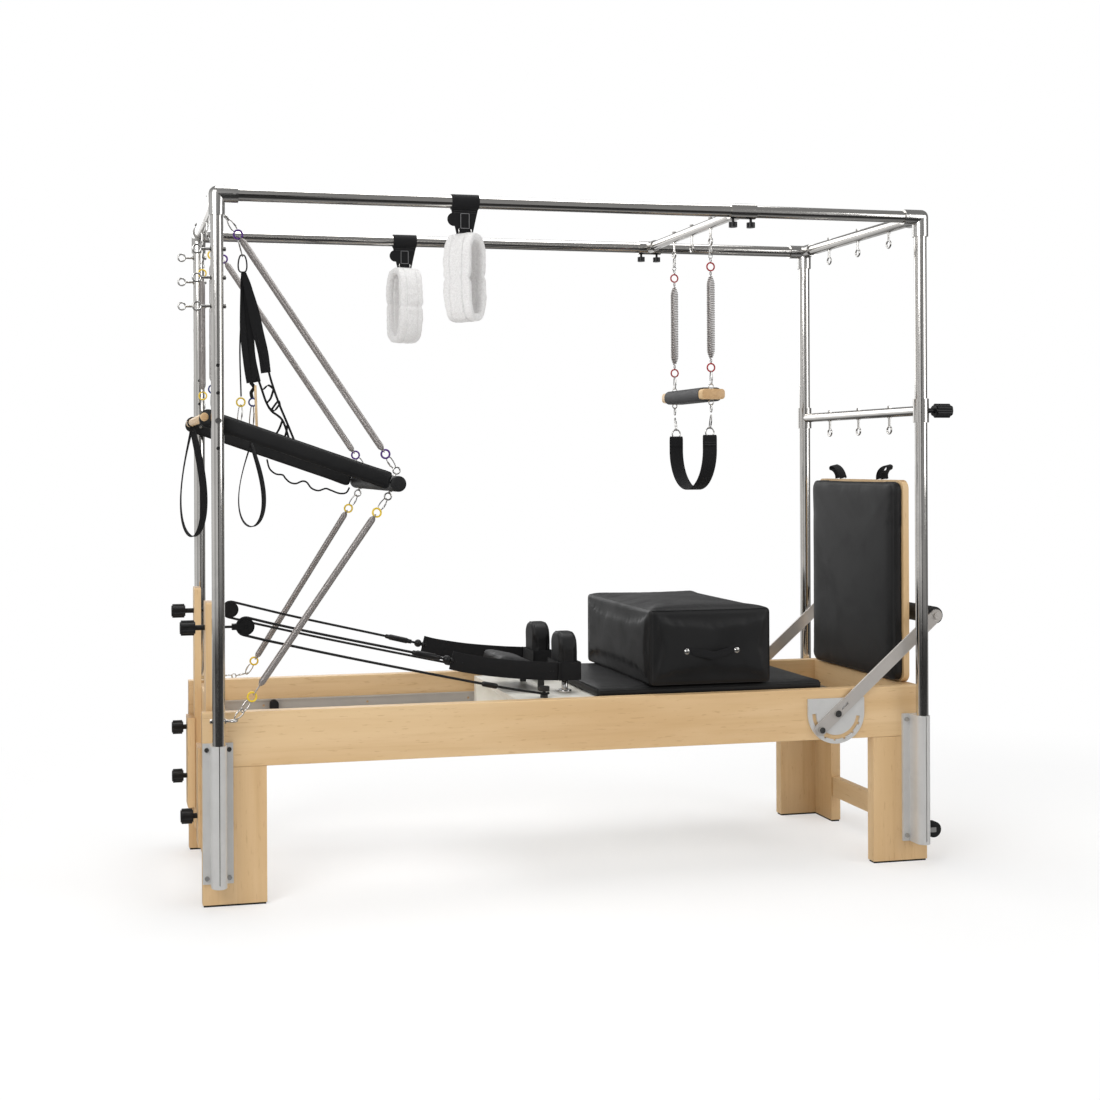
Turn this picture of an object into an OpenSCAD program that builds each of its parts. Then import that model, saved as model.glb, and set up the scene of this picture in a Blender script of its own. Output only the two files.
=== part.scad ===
// Pilates tower unit: a wooden reformer bed under a steel tube canopy.
// X runs along the bed from the head end (-X) to the foot end (+X), Y goes from
// the near long side (-Y) to the far one (+Y), Z is up, and the floor is z = 0.

/* [Bed] */
// Length of the wooden bed over its side rails
bed_length = 2350; // [2200:10:2500]
// Width of the bed over the outer faces of its side rails
bed_width = 650; // [600:5:680]
// Height of the side rails' undersides above the floor
rail_underside = 408; // [380:1:420]
// Height of a side rail board
rail_height = 162; // [150:1:180]
// Thickness of the rails, cross rails and leg boards
board_thickness = 35; // [28:1:38]
// Width of a leg's long board, along the bed
leg_width = 190; // [160:5:220]
// Depth of a leg across the bed, over both of its boards
leg_depth = 149; // [120:1:160]
// Thickness of the rubber pads under the legs
pad_thickness = 6; // [4:0.5:10]
// Distance of the head cross rail's outer face from the rails' ends
head_inset = 37; // [30:1:50]
// Distance of the foot cross rail's outer face from the rails' ends
foot_inset = 18; // [16:1:24]
// Height of the bottom edge of the stretchers between the legs
stretcher_z = 92; // [60:1:200]
// Height of a stretcher board
stretcher_height = 70; // [50:1:90]

/* [Canopy] */
// Distance between the posts' axes along the bed
canopy_length = 2260; // [2210:10:2300]
// Distance between the posts' axes across the bed
canopy_width = 740; // [730:5:790]
// Height of the top rails' axes above the floor
canopy_height = 2085; // [2040:5:2200]
// Outer diameter of the canopy tubes
tube_d = 38; // [32:1:42]
// Wall of the canopy tubes
tube_wall = 2; // [1.5:0.5:3]
// Outer diameter of the cross bars that are moved by hand
bar_d = 32; // [25:1:34]
// Height of a post bracket
bracket_height = 412; // [350:1:420]
// Height of a post bracket's lower end above the floor
bracket_z = 70; // [60:1:100]
// Width of a post bracket's flange plate
bracket_width = 90; // [80:1:96]
// Height of the axis of the adjustable cross bar at the foot end
lower_bar_z = 1463; // [1450:1:1480]
// Position of the sliding cross bar along the bed
slide_bar_x = 512; // [460:1:560]

/* [Carriage] */
// Length of the carriage deck
deck_length = 1040; // [1000:10:1060]
// Width of the carriage deck
deck_width = 500; // [460:2:504]
// Position of the deck's foot end edge along the bed
deck_end_x = 850; // [840:1:870]
// Height of the deck's top face
deck_top = 560; // [556:1:564]
// Thickness of the deck board
deck_thickness = 15; // [12:1:18]
// Diameter of the carriage wheels
wheel_d = 44; // [38:1:46]
// Length of the mat
mat_length = 780; // [740:10:790]
// Width of the mat
mat_width = 550; // [500:5:560]
// Thickness of the mat
mat_thickness = 32; // [25:1:40]
// Size of the sitting box along the bed
box_length = 420; // [380:5:440]
// Size of the sitting box across the bed
box_width = 584; // [560:2:620]
// Height of the sitting box
box_height = 246; // [220:2:280]
// Position of the sitting box's centre along the bed
box_x = 442; // [430:1:470]

/* [Foot end] */
// Width of the jump board across the bed
jump_width = 540; // [500:5:560]
// Height of the jump board above the rails
jump_height = 668; // [600:2:700]
// Thickness of the jump board's wooden board
jump_board_t = 20; // [18:1:24]
// Thickness of the jump board's pad
jump_pad_t = 36; // [30:1:40]
// Distance from the foot bar's pivot to the axis of its roll
footbar_reach = 467; // [455:1:475]
// Slope of the foot bar above the horizontal
footbar_angle = 40.7; // [38:0.1:44]
// Diameter of the foot bar's foam roll
footbar_roll_d = 57; // [50:1:60]

/* [Push-through bar] */
// Height of the push-through bar's pivot
push_pivot_z = 1426; // [1400:1:1450]
// Distance from the pivot to the axis of the foam roll
push_reach = 575; // [560:1:590]
// Slope of the push-through bar below the horizontal
push_angle = 19; // [10:0.5:24]
// Diameter of the push-through bar's foam roll
push_roll_d = 48; // [40:1:52]

/* [Springs] */
// Curls of each trapeze spring
trapeze_curls = 28; // [16:1:30]
// Wire of the trapeze springs
trapeze_wire = 4.6; // [3:0.1:5]
// Outer diameter of the trapeze springs
trapeze_spring_d = 27; // [22:1:30]
// Length of the curls of a trapeze spring
trapeze_spring_l = 280; // [260:1:300]
// Outer diameter of the long springs
long_spring_d = 22; // [17:0.5:25]

/* [Hidden] */
$fn = 48;

// Clearances: seat between touching pieces, fit of a pin or tube in its hole
seat = 0.3;
tube_fit = 0.3;
pin_fit = 0.05;
hole_fit = 0.4;

// Places worked out from the driving sizes
half_l = bed_length/2;
half_w = bed_width/2;
rail_top = rail_underside + rail_height;
rail_in = half_w - board_thickness;
post_x = canopy_length/2;
post_y = canopy_width/2;
head_face = -(half_l - head_inset);
foot_face = half_l - foot_inset;
elbow_d = tube_d + 10;
elbow_reach = 62;
socket_floor = 21;
tube_end = socket_floor + seat;
bracket_plate_t = 8;

// Wheel tracks inside the rails
track_t = 4;
track_z = rail_underside + 47;
track_h = 45;
track_w = 34;
flange_t = 5;
run_z = track_z + flange_t;
wheel_z = run_z + wheel_d/2 + seat;
wheel_w = 16;
wheel_y = rail_in - track_t - 8 - wheel_w/2;
deck_start_x = deck_end_x - deck_length;
axle_head_x = deck_start_x + 60;
axle_foot_x = deck_end_x - 60;
axle_d = 10;
stop_l = 30;
carriage_travel = 720;

// Head end risers and their pulleys
riser_y = 243;
riser_t = 22;
riser_w = 70;
riser_z0 = 90;
riser_z1 = 890;
guide_t = 24;
guide_z0 = 165;
guide_z1 = 460;
riser_face = head_face - seat - riser_t;
guide_face = riser_face - seat - guide_t;
pulley_x = -1037;
pulley_z = 812;
pulley_d = 52;
pulley_w = 12;
rope_d = 8;
pulley_pin_d = 8;
groove_r = pulley_d/2 + 1;
knob_d = 46;
riser_knob_l = 45.4;
clamp_knob_l = 37.1;
lower_knob_l = 57.7;

// Things on the deck
mat_x0 = deck_end_x - 8 - mat_length;
shoulder_y = 136;
shoulder_x = 5;
shoulder_post_d = 20;
headrest_hinge_x = -62;
headrest_hinge_z = deck_top + 42;
headrest_tilt = 13;
headrest_l = 132;
headrest_w = 220;
cleat_x = -95;
cleat_y = 228;

// Foot end
jump_x = foot_face - board_thickness/2;
jump_z0 = rail_top + seat;
peg_d = 16;
peg_y = 180;
pivot_x = 851;
pivot_z = 493;
plate_t = 6;
arm_t = 6;
arm_w = 40;
arm_y = half_w + plate_t + seat;
latch_r = 77;
latch_d = 12;

// Push-through bar
arm_h = 55;
push_arm_t = 30;
push_tail = 52;
push_arm_y = post_y - tube_d/2 - 6 - push_arm_t;
dowel_d = 25;
dowel_x = -38;
pivot_pin_d = 10;

// Trapeze and the eyes under the bars
eye_drop = 58;
eye_wire = 6;
eye_ring_d = 30;
eye_shank_d = 8;
trapeze_y = 145;
trapeze_top = canopy_height - eye_drop - 78;
trapeze_bar_z = canopy_height - 561;
trapeze_bar_t = 36;
trapeze_bar_w = 82;
trapeze_bar_l = 330;
sling_w = 50;
sling_t = 4;
sling_y = 130;
sling_top = trapeze_bar_z - 139;
sling_bottom = sling_top - 179;
foot_eyes = [-190, 0, 190];
slide_eyes = [-trapeze_y, 0, trapeze_y];
head_eyes = [-205, 0, 205];
spring_eye_y = 250;
spring_eye_lean = 40;
post_holes_z = [for (d = [326, 243, 160, 77]) canopy_height - d];
side_holes_z = [push_pivot_z - 80, push_pivot_z, push_pivot_z + 80, push_pivot_z + 160];
front_eye_z = [for (i = [0:2]) post_holes_z[i]];
rear_eye_z = [for (i = [1:3]) post_holes_z[i]];
low_eye_z = 553;
lower_hole_step = 80;

// Colours
maple = [0.85, 0.72, 0.54];
steel = [0.74, 0.73, 0.71];
alu = [0.75, 0.74, 0.72];
black = [0.10, 0.10, 0.10];
cream = [0.90, 0.88, 0.82];
fleece = [0.95, 0.95, 0.93];
yellow = [0.95, 0.85, 0.25];
red = [0.80, 0.12, 0.12];

// General shapes

module x_rod(d, x0, x1) {
    translate([x0, 0, 0]) rotate([0, 90, 0]) cylinder(d = d, h = x1 - x0);
}

module y_rod(d, y0, y1) {
    translate([0, y0, 0]) rotate([-90, 0, 0]) cylinder(d = d, h = y1 - y0);
}

// Straight round bar from point a to point b
module rod(a, b, d) {
    v = b - a;
    l = norm(v);
    translate(a) rotate([0, acos(v[2]/l), atan2(v[1], v[0])]) cylinder(d = d, h = l);
}

// Ring of round wire, its axis along Z
module wire_ring(outer_d, wire) {
    rotate_extrude() translate([(outer_d - wire)/2, 0]) circle(d = wire, $fn = 16);
}

// Rectangle with true round corners, from the origin
module round_rect(w, h, r) {
    translate([r, 0]) square([w - 2*r, h]);
    translate([0, r]) square([w, h - 2*r]);
    for (x = [r, w - r], y = [r, h - r]) translate([x, y]) circle(r = r);
}

// Board whose long edges, along X, are rounded
module x_board(l, w, h, r) {
    rotate([90, 0, 90]) linear_extrude(l) round_rect(w, h, r);
}

module both_sides() {
    children();
    mirror([0, 1, 0]) children();
}

module at_corners() {
    for (sx = [0, 1]) mirror([sx, 0, 0]) both_sides() children();
}

// Eye bolt: the ring hangs below the origin, the nut sits above it
module eyebolt(tube, drop) {
    translate([0, 0, -drop]) rotate([90, 0, 90]) wire_ring(eye_ring_d, eye_wire);
    translate([0, 0, -drop + eye_ring_d/2 - eye_wire/2])
        cylinder(d = eye_shank_d, h = drop - eye_ring_d/2 + eye_wire/2 + tube/2 + 7.5);
    translate([0, 0, tube/2 + seat]) cylinder(d = 14, h = 6, $fn = 6);
    translate([0, 0, -tube/2 - seat - 2]) cylinder(d = 15, h = 2);
}

// Star knob on its neck: the neck starts at the origin and the knob ends at reach, along -X
module star_knob(neck, reach, bore) {
    difference() {
        union() {
            x_rod(16, -neck - 4, 0);
            x_rod(knob_d - 10, -reach, -neck);
            for (a = [0:60:300]) rotate([a, 0, 0]) translate([0, 0, knob_d/2 - 7])
                x_rod(14, -reach + 3, -neck - 3);
        }
        if (bore > 0) x_rod(bore, -reach + 14, 1);
    }
}

// Points and faces

// Outline of a cushion: a rectangle with round corners and drawn-in sides
function corner_pts(cx, cy, r, a0) =
    [for (i = [0:3]) [cx + r*cos(a0 + 30*i), cy + r*sin(a0 + 30*i)]];
function outline(w, l, r, pull) = let (u = min(w/6, 0.6*(w/2 - r)), v = min(l/6, 0.6*(l/2 - r))) concat(
    corner_pts(w/2 - r, l/2 - r, r, 0), [[u, l/2 - pull], [-u, l/2 - pull]],
    corner_pts(-w/2 + r, l/2 - r, r, 90), [[-w/2 + pull, v], [-w/2 + pull, -v]],
    corner_pts(-w/2 + r, -l/2 + r, r, 180), [[-u, -l/2 + pull], [u, -l/2 + pull]],
    corner_pts(w/2 - r, -l/2 + r, r, 270), [[w/2 - pull, -v], [w/2 - pull, v]]);

// Rings of a cushion from its base to its crown: inset and height of each
function cushion_levels(w, l, h, e, crown) = let (m = min(w, l)/2) [
    [e, 0], [0.3*e, 0.3*e], [0, e], [0, h/2], [0, h - crown - e], [0.3*e, h - crown - 0.3*e],
    [e, h - crown], [e + (m - e)*0.3, h - crown*0.55], [e + (m - e)*0.65, h - crown*0.12]];

// Cushion standing on z = 0, centred on X and Y: size, corner radius, edge radius, crown, pull
module cushion(w, l, h, r, e, crown, pull) {
    levels = cushion_levels(w, l, h, e, crown);
    n = 24;
    rings = len(levels);
    pts = concat(
        [for (v = levels) let (p = outline(w - 2*v[0], l - 2*v[0],
            max(r - v[0], min(r, 3)), pull*sin(180*v[1]/h)))
            for (q = p) [q[0], q[1], v[1]]],
        [[0, 0, 0], [0, 0, h]]);
    sides = [for (k = [0:rings - 2], i = [0:n - 1]) let (j = (i + 1)%n)
        each [[k*n + i, (k + 1)*n + j, k*n + j], [k*n + i, (k + 1)*n + i, (k + 1)*n + j]]];
    base = [for (i = [0:n - 1]) [rings*n, i, (i + 1)%n]];
    top = [for (i = [0:n - 1]) [rings*n + 1, (rings - 1)*n + (i + 1)%n, (rings - 1)*n + i]];
    polyhedron(points = pts, faces = concat(sides, base, top), convexity = 4);
}

// Frame across a path at point i: the direction and two square axes
function unit(v) = v/norm(v);
function path_dir(p, i, closed) = let (n = len(p))
    closed ? unit(p[(i + 1)%n] - p[(i + n - 1)%n])
    : unit(p[min(i + 1, n - 1)] - p[max(i - 1, 0)]);
function side_axis(d) = abs(d[1]) > 0.9 ? unit(cross(d, [1, 0, 0])) : unit(cross(d, [0, 1, 0]));

// Round tube along the points of a path, with flat ends
module swept(path, d, sides) {
    n = len(path);
    pts = [for (i = [0:n - 1]) let (t = path_dir(path, i, false), a = side_axis(t), b = cross(t, a))
        for (k = [0:sides - 1]) path[i] + d/2*(cos(360*k/sides)*a + sin(360*k/sides)*b)];
    walls = [for (i = [0:n - 2], k = [0:sides - 1]) let (j = (k + 1)%sides)
        each [[i*sides + k, (i + 1)*sides + j, i*sides + j],
              [i*sides + k, (i + 1)*sides + k, (i + 1)*sides + j]]];
    polyhedron(points = pts, faces = concat(walls,
        [[for (k = [0:sides - 1]) k]],
        [[for (k = [sides - 1:-1:0]) (n - 1)*sides + k]]), convexity = 10);
}

// Flat ribbon of thickness t along the points of a path
function ribbon_side(p, t, s) = [for (i = [0:len(p) - 1])
    let (d = unit(p[min(i + 1, len(p) - 1)] - p[max(i - 1, 0)])) p[i] + s*t/2*[-d[1], d[0]]];
module ribbon(p, t) {
    left = ribbon_side(p, t, 1);
    right = ribbon_side(p, t, -1);
    polygon(concat(left, [for (i = [len(p) - 1:-1:0]) right[i]]));
}

// Half of a hanging loop: it widens below its top and closes at the bottom
function drop_half(w, h, side) = [for (a = [0:15:180])
    [side*w*sin(a)*pow(sin(a/2), 1.2)*1.15, -h*(1 - cos(a))/2]];
module hanging_loop(w, h, t) {
    ribbon(drop_half(w, h, 1), t);
    ribbon(drop_half(w, h, -1), t);
}

// Where a wire hook meets a ring of centre c and axis n when it pulls towards another point
function hooked(c, toward, n, ring_d, wire) = let (d = unit(toward - c), q = d - n*(d*n))
    c + (ring_d - wire)/2*unit(q) + (wire/2 + seat)*d;

// Closed loop in the XZ plane: half width, half height, and a crowned section across Y
function loop_point(a, w, h, off) = let (c = cos(a), s = sin(a))
    [(w - off)*sign(c)*pow(abs(c), 0.75), 0, (h - off)*sign(s)*pow(abs(s), 0.75)];
module fleece_band(w, h, thick, wide) {
    n = 24;
    section = [[0.2, 0.5], [0, 0.4], [0, -0.4], [0.2, -0.5], [0.75, -0.5], [1, -0.34], [1, 0.34],
        [0.75, 0.5]];
    m = len(section);
    pts = [for (i = [0:n - 1]) let (a = 360*i/n) for (q = section)
        loop_point(a, w, h, thick*(1 - q[0])) + [0, wide*q[1], 0]];
    faces = [for (i = [0:n - 1], k = [0:m - 1]) let (j = (k + 1)%m, i2 = (i + 1)%n)
        each [[i*m + k, i2*m + j, i*m + j], [i*m + k, i2*m + k, i2*m + j]]];
    polyhedron(points = pts, faces = faces, convexity = 6);
}

// Bed

module side_rails() color(maple) both_sides()
    translate([-half_l, -half_w, rail_underside]) x_board(bed_length, board_thickness, rail_height, 3);

module cross_rails() color(maple) {
    rail_l = 2*(rail_in - seat);
    translate([head_face, -rail_l/2, rail_underside]) cube([board_thickness, rail_l, rail_height - 8]);
    difference() {
        translate([foot_face - board_thickness, -rail_l/2, rail_underside])
            cube([board_thickness, rail_l, rail_height]);
        for (y = [-peg_y, peg_y]) translate([jump_x, y, rail_top - 60])
            cylinder(d = peg_d + hole_fit, h = 61);
    }
}

// Leg at the near side: the long board starts at x0, the short board at x1
module leg(x0, x1, z0, z1, inset) {
    translate([x0 + inset, -half_w + inset, z0])
        cube([leg_width - 2*inset, board_thickness - 2*inset, z1 - z0]);
    translate([x1 + inset, -half_w + inset, z0])
        cube([board_thickness - 2*inset, leg_depth - 2*inset, z1 - z0]);
}

module legs_head() color(maple) both_sides()
    leg(-half_l, head_face, pad_thickness, rail_underside, 0);

module legs_foot() color(maple) both_sides()
    leg(half_l - leg_width, foot_face - board_thickness, pad_thickness, rail_underside, 0);

module foot_pads() color(black) both_sides() {
    leg(-half_l, head_face, 0, pad_thickness, 3);
    leg(half_l - leg_width, foot_face - board_thickness, 0, pad_thickness, 3);
}

module leg_stretchers() color(maple) {
    l = 2*(half_w - leg_depth - seat);
    for (x = [head_face + 5, foot_face - board_thickness + 5]) translate([x, -l/2, stretcher_z])
        cube([board_thickness - 10, l, stretcher_height]);
}

// Tracks

module track() {
    x0 = head_face + board_thickness + 8;
    x1 = foot_face - board_thickness - 8;
    difference() {
        translate([x0, -rail_in, track_z]) union() {
            cube([x1 - x0, track_t, track_h]);
            cube([x1 - x0, track_w, flange_t]);
            translate([0, 0, track_h - flange_t]) cube([x1 - x0, track_t + 6, flange_t]);
        }
        for (x = [-922:360:1000]) translate([x, -rail_in - 1, track_z + 23])
            rotate([-90, 0, 0]) cylinder(d = 9, h = track_t + 2, $fn = 24);
    }
}

module carriage_tracks() color(alu) both_sides() track();

// Rubber stop on the track's flange, with a round top
module track_stop(x) {
    translate([x, -wheel_y, run_z]) {
        translate([-stop_l/2, -9, 0]) cube([stop_l, 18, 24]);
        translate([0, 0, 24]) y_rod(stop_l, -9, 9);
    }
}

module track_stops() color(black) both_sides() {
    track_stop(axle_head_x - wheel_d/2 - carriage_travel - stop_l/2 - 1);
    track_stop(axle_foot_x + wheel_d/2 + stop_l/2 + seat);
}

// Canopy

screw_x = bracket_width/2 - 12;
screw_z = [bracket_z + 18, bracket_z + bracket_height - 18];

module post_bracket() {
    boss = tube_d + 8;
    translate([-post_x, -post_y, bracket_z]) difference() {
        union() {
            translate([-bracket_width/2, post_y - half_w - bracket_plate_t, 0])
                cube([bracket_width, bracket_plate_t, bracket_height]);
            cylinder(d = boss, h = bracket_height);
            translate([-boss/2, 0, 0]) cube([boss, post_y - half_w, bracket_height]);
        }
        translate([0, 0, 10]) cylinder(d = tube_d + 2*tube_fit, h = bracket_height);
        translate([-1.5, -boss, 10]) cube([3, boss, bracket_height]);
        for (x = [-screw_x, screw_x], z = screw_z) translate([x, 0, z - bracket_z])
            rotate([-90, 0, 0]) cylinder(d = 7, h = 100, $fn = 24);
    }
}

module post_brackets() color(alu) at_corners() post_bracket();

// Pan head screw on the bracket's plate, its shank in the plate's hole
module pan_screw() {
    y_rod(14, -5, 0);
    y_rod(6.4, -1, bracket_plate_t - seat);
}

module frame_screws() color(steel) {
    at_corners() for (x = [-screw_x, screw_x], z = screw_z)
        translate([-post_x + x, -half_w - bracket_plate_t - seat, z]) pan_screw();
    both_sides() translate([pivot_x, 0, pivot_z]) {
        y_rod(22, -arm_y - arm_t - 8, -arm_y - arm_t - seat);
        y_rod(12, -arm_y - arm_t - 2, -half_w - seat);
    }
    both_sides() translate([half_l, -transport_y, transport_z]) {
        translate([transport_x - half_l, 0, 0]) y_rod(8, -13, 13);
        for (y = [-13, 10]) translate([seat, y, -8]) cube([transport_x - half_l + 6, 3, 16]);
        translate([seat, -13, -8]) cube([4, 26, 16]);
    }
    both_sides() translate([-post_x, 0, push_pivot_z]) {
        y_rod(pivot_pin_d, -post_y - tube_d/2 - 3, -push_arm_y + 6);
        y_rod(18, -post_y - tube_d/2 - 9, -post_y - tube_d/2 - seat);
    }
}

module post(side) {
    difference() {
        translate([0, 0, bracket_z + 10 + seat])
            cylinder(d = tube_d, h = canopy_height - tube_end - bracket_z - 10 - seat);
        cylinder(d = tube_d - 2*tube_wall, h = canopy_height);
        if (side < 0) {
            for (z = post_holes_z) translate([0, 0, z]) x_rod(eye_shank_d + hole_fit, -tube_d, tube_d);
            translate([0, 0, low_eye_z]) x_rod(eye_shank_d + hole_fit, -tube_d, tube_d);
            for (z = side_holes_z) translate([0, 0, z])
                y_rod(pivot_pin_d + hole_fit, -tube_d, tube_d);
        } else {
            for (k = [-5:6]) translate([0, 0, lower_bar_z + k*lower_hole_step])
                x_rod(eye_shank_d + hole_fit, 0, tube_d);
        }
    }
}

module posts() color(steel) both_sides() {
    translate([-post_x, -post_y, 0]) post(-1);
    translate([post_x, -post_y, 0]) post(1);
}

module top_rails() color(steel) both_sides() translate([0, -post_y, canopy_height]) difference() {
    x_rod(tube_d, -post_x + tube_end, post_x - tube_end);
    x_rod(tube_d - 2*tube_wall, -post_x, post_x);
}

module top_bar(eyes) {
    difference() {
        y_rod(tube_d, -post_y + tube_end, post_y - tube_end);
        y_rod(tube_d - 2*tube_wall, -post_y, post_y);
        for (y = eyes) translate([0, y, -tube_d]) cylinder(d = eye_shank_d + hole_fit, h = 2*tube_d);
        children();
    }
}

module top_bars() color(steel) {
    translate([-post_x, 0, canopy_height]) top_bar(head_eyes)
        for (y = [-spring_eye_y, spring_eye_y]) translate([0, y, 0]) rotate([0, -spring_eye_lean, 0])
            translate([0, 0, -tube_d]) cylinder(d = eye_shank_d + hole_fit, h = 2*tube_d);
    translate([post_x, 0, canopy_height]) top_bar(foot_eyes);
}

// Corner fitting with three sockets, at the head end near side
module elbow() {
    bore = tube_d + 2*tube_fit;
    difference() {
        union() {
            sphere(d = elbow_d);
            x_rod(elbow_d, 0, elbow_reach);
            y_rod(elbow_d, 0, elbow_reach);
            translate([0, 0, -elbow_reach]) cylinder(d = elbow_d, h = elbow_reach);
        }
        x_rod(bore, socket_floor, elbow_reach + 1);
        y_rod(bore, socket_floor, elbow_reach + 1);
        translate([0, 0, -elbow_reach - 1]) cylinder(d = bore, h = elbow_reach + 1 - socket_floor);
    }
    translate([elbow_reach - 12, -elbow_d/2 - 1, 0]) y_rod(9, 0, 4);
}

module corner_elbows() color(steel) at_corners() translate([-post_x, -post_y, canopy_height]) elbow();

module canopy_eyebolts() color(steel) {
    translate([post_x, 0, canopy_height]) for (y = foot_eyes) translate([0, y, 0])
        eyebolt(tube_d, eye_drop);
    translate([-post_x, 0, canopy_height]) for (y = head_eyes) translate([0, y, 0])
        eyebolt(tube_d, eye_drop);
    for (y = [-spring_eye_y, spring_eye_y]) translate([-post_x, y, canopy_height])
        rotate([0, -spring_eye_lean, 0]) eyebolt(tube_d, eye_drop);
    for (z = front_eye_z) translate([-post_x, -post_y, z]) rotate([0, 90, 0])
        rotate([0, 0, 90]) eyebolt(tube_d, eye_drop);
    for (z = rear_eye_z) translate([-post_x, post_y, z]) rotate([0, 90, 0])
        rotate([0, 0, 90]) eyebolt(tube_d, eye_drop);
    for (y = [-post_y, post_y]) translate([-post_x, y, low_eye_z]) rotate([0, -90, 0])
        eyebolt(tube_d, 42);
}

// Head end

module riser() {
    difference() {
        translate([riser_face, -riser_y - riser_w/2, riser_z0])
            rotate([90, 0, 90]) linear_extrude(riser_t) round_rect(riser_w, riser_z1 - riser_z0, 8);
        translate([riser_face - 1, -riser_y - 4.5, 560]) cube([riser_t + 2, 9, 280]);
        translate([0, -riser_y, 0]) for (z = [560, 840]) translate([0, 0, z])
            x_rod(9, riser_face - 1, head_face);
    }
    translate([guide_face, -riser_y - riser_w/2 - 6, guide_z0])
        cube([guide_t, riser_w + 12, guide_z1 - guide_z0]);
}

module risers() color(maple) both_sides() riser();

// Pulley block at the near side: a threaded stem through the riser, a yoke and two cheeks
module pulley_block() {
    cheek_y = pulley_w/2 + 1;
    translate([pulley_x, -riser_y, pulley_z]) {
        x_rod(8, riser_face - 26 - pulley_x, -pulley_d/2 - 12);
        x_rod(18, head_face - pulley_x, head_face - pulley_x + 6);
        translate([-pulley_d/2 - 16, -cheek_y - 3, -9]) cube([10, 2*cheek_y + 6, 18]);
        y_rod(pulley_pin_d, -cheek_y - 6, cheek_y + 6);
        both_sides() translate([0, -cheek_y - 3, 0]) {
            y_rod(pulley_d - 12, 0, 3);
            translate([-pulley_d/2 - 8, 0, -9]) cube([pulley_d/2 + 8, 3, 18]);
        }
    }
}

module pulley_blocks() color(black) both_sides() pulley_block();

module pulley_wheel(y) {
    translate([pulley_x, y, pulley_z]) difference() {
        y_rod(pulley_d, -pulley_w/2, pulley_w/2);
        rotate([90, 0, 0]) rotate_extrude() translate([groove_r, 0]) circle(d = rope_d + 2, $fn = 24);
        y_rod(pulley_pin_d + 2*pin_fit, -pulley_w, pulley_w);
    }
}

module pulley_wheel_front() color(black) pulley_wheel(-riser_y);
module pulley_wheel_rear() color(black) pulley_wheel(riser_y);

module riser_knob(y) {
    translate([riser_face - seat, y, pulley_z])
        star_knob(28, 28 + riser_knob_l, 8 + 2*pin_fit);
}

module riser_knob_front() color(black) riser_knob(-riser_y);
module riser_knob_rear() color(black) riser_knob(riser_y);

module clamp_knobs() color(black) {
    for (p = [[-riser_y, 251], [riser_y, 263], [riser_y, 425]])
        translate([guide_face - seat, p[0], p[1]]) star_knob(12, 12 + clamp_knob_l, 0);
}

// Carriage

spring_ys = [-120, -60, 0, 60, 120];
spring_z = run_z + 22;
anchor_x = deck_end_x - 12;
spring_bar_x = foot_face - board_thickness - 40;

module spring_bar() color(steel) {
    translate([spring_bar_x, -rail_in + track_t + 1, run_z + seat]) cube([8, 2*(rail_in - track_t - 1), track_h - 2*flange_t - 2*seat]);
    for (y = spring_ys) translate([spring_bar_x - 14, y, spring_z]) x_rod(12, 0, 14);
}

module reformer_springs() color(steel) for (y = spring_ys) translate([0, y, spring_z]) {
    x_rod(22, deck_end_x + 22, spring_bar_x - 40);
    x_rod(7, deck_end_x + seat, spring_bar_x - 14 - seat);
}

module carriage_frame() color(cream) {
    beam = 24;
    ear_y = 92;
    difference() {
        translate([deck_start_x, -deck_width/2, deck_top - deck_thickness])
            cube([deck_length, deck_width, deck_thickness]);
        for (y = [-shoulder_y, shoulder_y]) translate([shoulder_x, y, deck_top - 30])
            cylinder(d = shoulder_post_d + hole_fit, h = 40);
    }
    both_sides() {
        translate([deck_start_x, -deck_width/2, wheel_z - 14])
            cube([deck_length, beam, deck_top - deck_thickness - wheel_z + 14]);
        for (x = [axle_head_x, axle_foot_x]) translate([x, 0, wheel_z])
            y_rod(axle_d, -wheel_y - wheel_w/2 - 1, -deck_width/2 + 1);
        translate([headrest_hinge_x - 10, -ear_y - 8, deck_top]) cube([20, 8, 42]);
        translate([headrest_hinge_x, 0, headrest_hinge_z]) y_rod(20, -ear_y - 8, -ear_y);
    }
    translate([headrest_hinge_x, 0, headrest_hinge_z]) y_rod(8, -ear_y - 1, ear_y + 1);
    translate([anchor_x, -deck_width/2 + beam, spring_z - 12])
        cube([12, deck_width - 2*beam, deck_top - deck_thickness - spring_z + 12]);
    for (y = [-cleat_y, cleat_y]) translate([cleat_x, y, deck_top]) {
        cylinder(d = 24, h = 10);
        cylinder(d = 10, h = 30);
        translate([0, 0, 22]) cylinder(d = 34, h = 14);
    }
}

module wheel_pair(x) {
    both_sides() translate([x, -wheel_y, wheel_z]) difference() {
        y_rod(wheel_d, -wheel_w/2, wheel_w/2);
        y_rod(axle_d + 2*pin_fit, -wheel_w, wheel_w);
    }
}

module carriage_wheels_head() color(black) wheel_pair(axle_head_x);
module carriage_wheels_foot() color(black) wheel_pair(axle_foot_x);

module carriage_mat() color(black) translate([mat_x0 + mat_length/2, 0, deck_top + seat])
    cushion(mat_length, mat_width, mat_thickness, 14, 9, 4, 1.5);

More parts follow.
